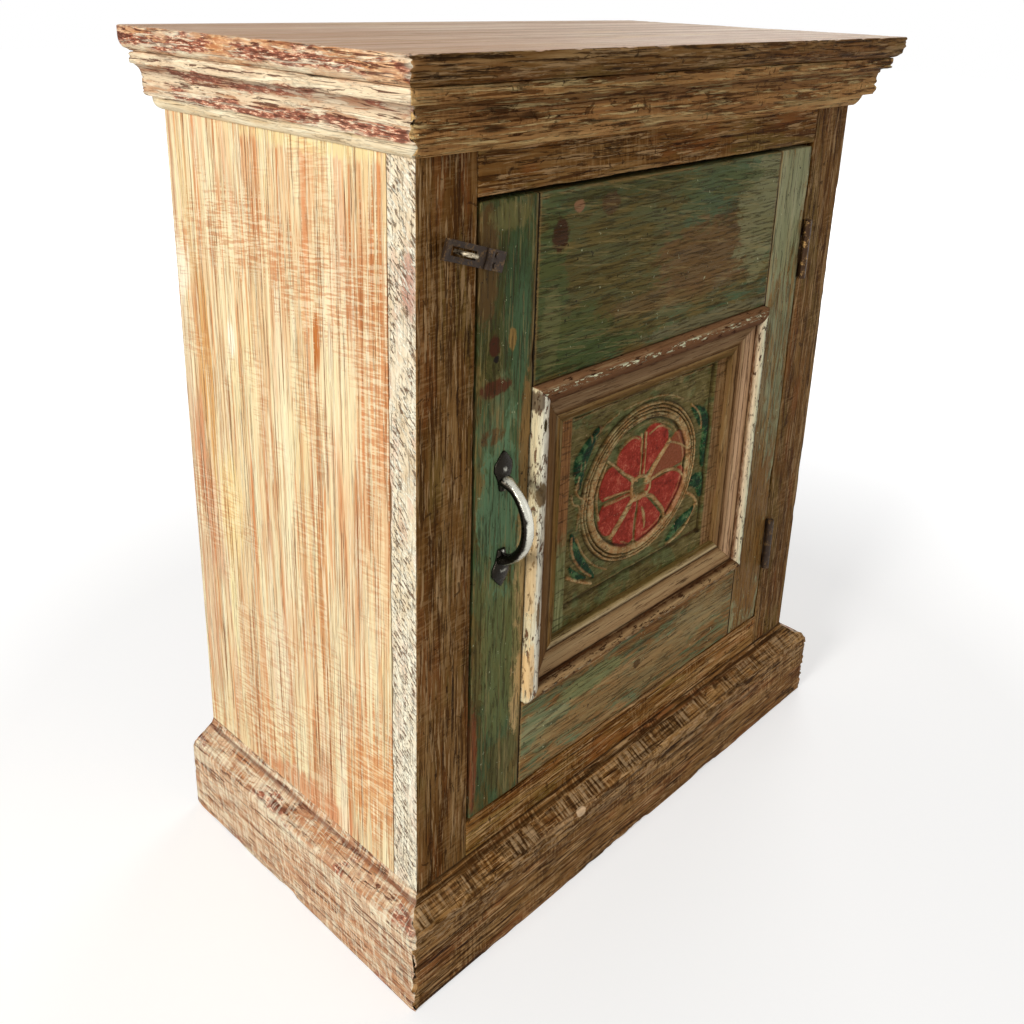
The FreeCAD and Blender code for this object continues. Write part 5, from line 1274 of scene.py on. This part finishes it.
def forged_pull():
    """The bow handle: a round forged bar swelling at its middle, flowing into two leaf-shaped feet."""
    x0, z0 = -169.5, 347.0
    rise, foot_at = 22.1, 29.5
    bow = (foot_at ** 2 + rise ** 2) / (2 * rise)
    reach = math.asin(foot_at / bow)
    points, wear_and_highlight = [], []
    around = 20
    angles = np.linspace(-reach, reach, 61)
    for angle in angles:
        flare = smooth(0.74, 1.0, abs(angle) / reach)
        radius = 3.15 + 1.1 * math.cos(angle) ** 2 + 0.9 * flare
        y = bow - rise - 2 - bow * math.cos(angle)
        for t in np.linspace(0, 2 * math.pi, around, endpoint=False):
            off_x, off_y = radius * (1 + 0.35 * flare) * math.cos(t), radius * math.sin(t)
            place = np.array([x0 + off_x, FRONT + y + off_y * math.cos(angle),
                              z0 + (bow - off_y) * math.sin(angle)])
            place += 0.10 * noise(place, (3.5, 3.5, 5), 91) * np.array([math.cos(t), math.sin(t), 0])
            place[1] = min(max(place[1], FRONT - 28.4), FRONT - 0.1)
            points.append(place)
            # Painted highlight: bright along the bow's outward crest, weaker towards the feet.
            wear_and_highlight.append(float(smooth(0.15, 0.95, -math.sin(t)) * (1 - 0.35 * flare)))
    faces = quads(len(angles), around, closed=True)
    faces.append(tuple(range(around))[::-1])
    faces.append(tuple((len(angles) - 1) * around + k for k in range(around)))
    rows, columns = 22, 15
    for up in (1, -1):
        base = len(points)
        for u in np.linspace(0, 1, rows):
            half = np.interp(u, [0, 0.12, 0.3, 0.52, 0.68, 0.85, 0.96, 1],
                             [3.4, 4.0, 5.4, 8.5, 8.3, 4.6, 1.8, 0.5])
            for v in np.linspace(-1, 1, columns):
                thick = 0.9 + 2.9 * (1 - abs(v) ** 2.2) ** 0.6 * np.interp(u, [0, 0.2, 0.6, 1],
                                                                           [0.6, 1, 0.8, 0.25])
                place = np.array([x0 + half * v, FRONT - thick, z0 + up * (22.0 + 28.4 * u)])
                place[1] += 0.12 * noise(place, 3, 93)
                points.append(place)
                # Painted highlight down the middle of each foot, strongest at its inner end and at the widest part
                # of the leaf.
                wear_and_highlight.append(float(0.7 * (1 - abs(v)) * max(smooth(0.4, 0.0, u),
                                                             smooth(0.2, 0.0, abs(u - 0.55)))))
        under = len(points)
        points += [np.array([p[0], FRONT - 0.02, p[2]]) for p in points[base:]]
        wear_and_highlight += [0.0] * (rows * columns)
        foot = []
        for quad in quads(rows, columns, start=base):
            foot += [quad, tuple(q + rows * columns for q in quad)[::-1]]
        edge = border(rows, columns)
        foot += [(base + b, base + a, under + a, under + b) for a, b in zip(edge, edge[1:] + edge[:1])]
        faces += [face[::-1] for face in foot] if up == -1 else foot
    new_piece("forged_pull_handle", "pull_handle", "door", [PULL], points, faces,
              [0] * len(faces),
              {"wear_and_highlight": wear_and_highlight})


forged_pull()


# Finishes of the parts that keep their shape

DRESS = (
    (WASH, "side_panel_left side_panel_right"),
    (PLAIN_UP, "back_board_left back_board_middle back_board_right corner_block_left corner_block_right door_stop"),
    (PLAIN, "bottom_board shelf rear_rail_top rear_rail_bottom"),
    (PLAIN_DEEP, "shelf_cleat_left shelf_cleat_right bottom_cleat_left bottom_cleat_right"),
    # The upper hinge's brighter brass and the lower hinge's darker rust are partly painted light and shade: the
    # upper hinge lit, the lower one in a dark recess.
    (BRASS, "upper_hinge_frame_leaf upper_hinge_door_leaf upper_hinge_pin"),
    (RUST, "lower_hinge_frame_leaf lower_hinge_door_leaf lower_hinge_pin"),
    (STEEL, "hinge_screws_frame hinge_screws_door handle_screws"),
    (RUST, "hasp_plate hasp_pin hasp_nails hasp_strap"),
    (IRON, "latch_staple"),
)
for material, names in DRESS:
    for name in names.split():
        node = frame["nodes"][name]
        node.data.materials.clear()
        node.data.materials.append(material)


# Floor, light and camera

WHITE = (1, 1, 1, 1)
FLOOR_HALF = 9
FLOOR_GREY = (0.62, 0.62, 0.62, 1)
WORLD_LIGHT = 0.27


def most_of(tree, a, b):
    return add_node(tree, "ShaderNodeMath", {0: a, 1: b}, operation="MAXIMUM").outputs[0]


def floor():
    """A grey floor that the camera and reflections see fade to white away from the cabinet."""
    mesh = bpy.data.meshes.new("studio_floor")
    corners = [(x * FLOOR_HALF, y * FLOOR_HALF, 0) for x, y in ((-1, -1), (1, -1), (1, 1), (-1, 1))]
    mesh.from_pydata(corners, [], [(0, 1, 2, 3)])
    piece = new_object("studio_floor", mesh)
    material = bpy.data.materials.new("studio_floor")
    material.use_nodes = True
    tree = material.node_tree
    rays = add_node(tree, "ShaderNodeLightPath").outputs
    seen = most_of(tree, rays["Is Camera Ray"], rays["Is Glossy Ray"])
    place = add_node(tree, "ShaderNodeTexCoord").outputs["Object"]
    away = add_node(tree, "ShaderNodeVectorMath", {0: place}, operation="LENGTH").outputs["Value"]
    fade = add_node(tree, "ShaderNodeMapRange",
                    {"Value": away, "From Min": 0.5, "From Max": 1.3, "To Min": 0.5,
                                                 "To Max": 1.0}).outputs["Result"]
    level = add_node(tree, "ShaderNodeMath", {0: seen, 1: fade}, operation="MULTIPLY").outputs[0]
    shader = tree.nodes["Principled BSDF"]
    for name, value in (("Base Color", FLOOR_GREY), ("Roughness", 0.95), ("Specular IOR Level", 0.0),
                        ("Emission Color", WHITE), ("Emission Strength", level)):
        put(tree, shader.inputs[name], value)
    mesh.materials.append(material)


def world():
    """A plain white surround: bright where it is seen, weaker as light on the cabinet."""
    surround = bpy.data.worlds.new("studio")
    bpy.context.scene.world = surround
    surround.use_nodes = True
    tree = surround.node_tree
    rays = add_node(tree, "ShaderNodeLightPath").outputs
    seen = most_of(tree, rays["Is Camera Ray"], rays["Is Glossy Ray"])
    seen = most_of(tree, seen, rays["Is Transmission Ray"])
    strength = add_node(tree, "ShaderNodeMapRange", {"Value": seen, "To Min": WORLD_LIGHT, "To Max": 1.0})
    background = tree.nodes["Background"]
    put(tree, background.inputs["Strength"], strength.outputs["Result"])
    put(tree, background.inputs["Color"], WHITE)


def lamp(name, place, aim, size, power, colour):
    data = bpy.data.lights.new(name, "AREA")
    data.shape = "DISK"
    data.size = size
    data.energy = power
    data.color = colour
    piece = new_object(name, data)
    piece.location = place
    piece.rotation_euler = (Vector(aim) - Vector(place)).to_track_quat("-Z", "Y").to_euler()


SENSOR = 36
PICTURE = 1024
FOCAL = 1070.06
CENTRE_X, CENTRE_Y = 513.17, 369.86
EYE = (-0.62997, -0.55716, 0.68580)
VIEW = (0.68419, 0.64363, -0.34296)
ROLL = math.radians(1.798)


def camera():
    """The photograph's camera; its focal length and centre are in pixels of the picture."""
    data = bpy.data.cameras.new("photo_camera")
    piece = new_object("photo_camera", data)
    forward = Vector(VIEW).normalized()
    right = forward.cross(Vector(UPWARD)).normalized()
    up = right.cross(forward)
    across = math.cos(ROLL) * right + math.sin(ROLL) * up
    upright = -math.sin(ROLL) * right + math.cos(ROLL) * up
    turn = Matrix((across, upright, -forward)).transposed()
    piece.matrix_world = Matrix.Translation(EYE) @ turn.to_4x4()
    data.sensor_width = SENSOR
    data.lens = FOCAL / PICTURE * SENSOR
    data.shift_x = (PICTURE / 2 - CENTRE_X) / PICTURE
    data.shift_y = (CENTRE_Y - PICTURE / 2) / PICTURE
    data.clip_start = 0.01
    bpy.context.scene.camera = piece


floor()
world()
lamp("key", (-2.9, -0.35, 1.45), (0, 0, 0.35), 1.0, 78, (1.0, 0.98, 0.94))
lamp("fill", (1.0, -2.7, 1.4), (0, 0, 0.3), 2.2, 7, (1, 1, 1))
lamp("rear", (2.8, 1.2, 1.6), (0, 0, 0.3), 1.8, 32, (1, 1, 1))
bpy.context.scene.view_settings.view_transform = "Standard"
camera()
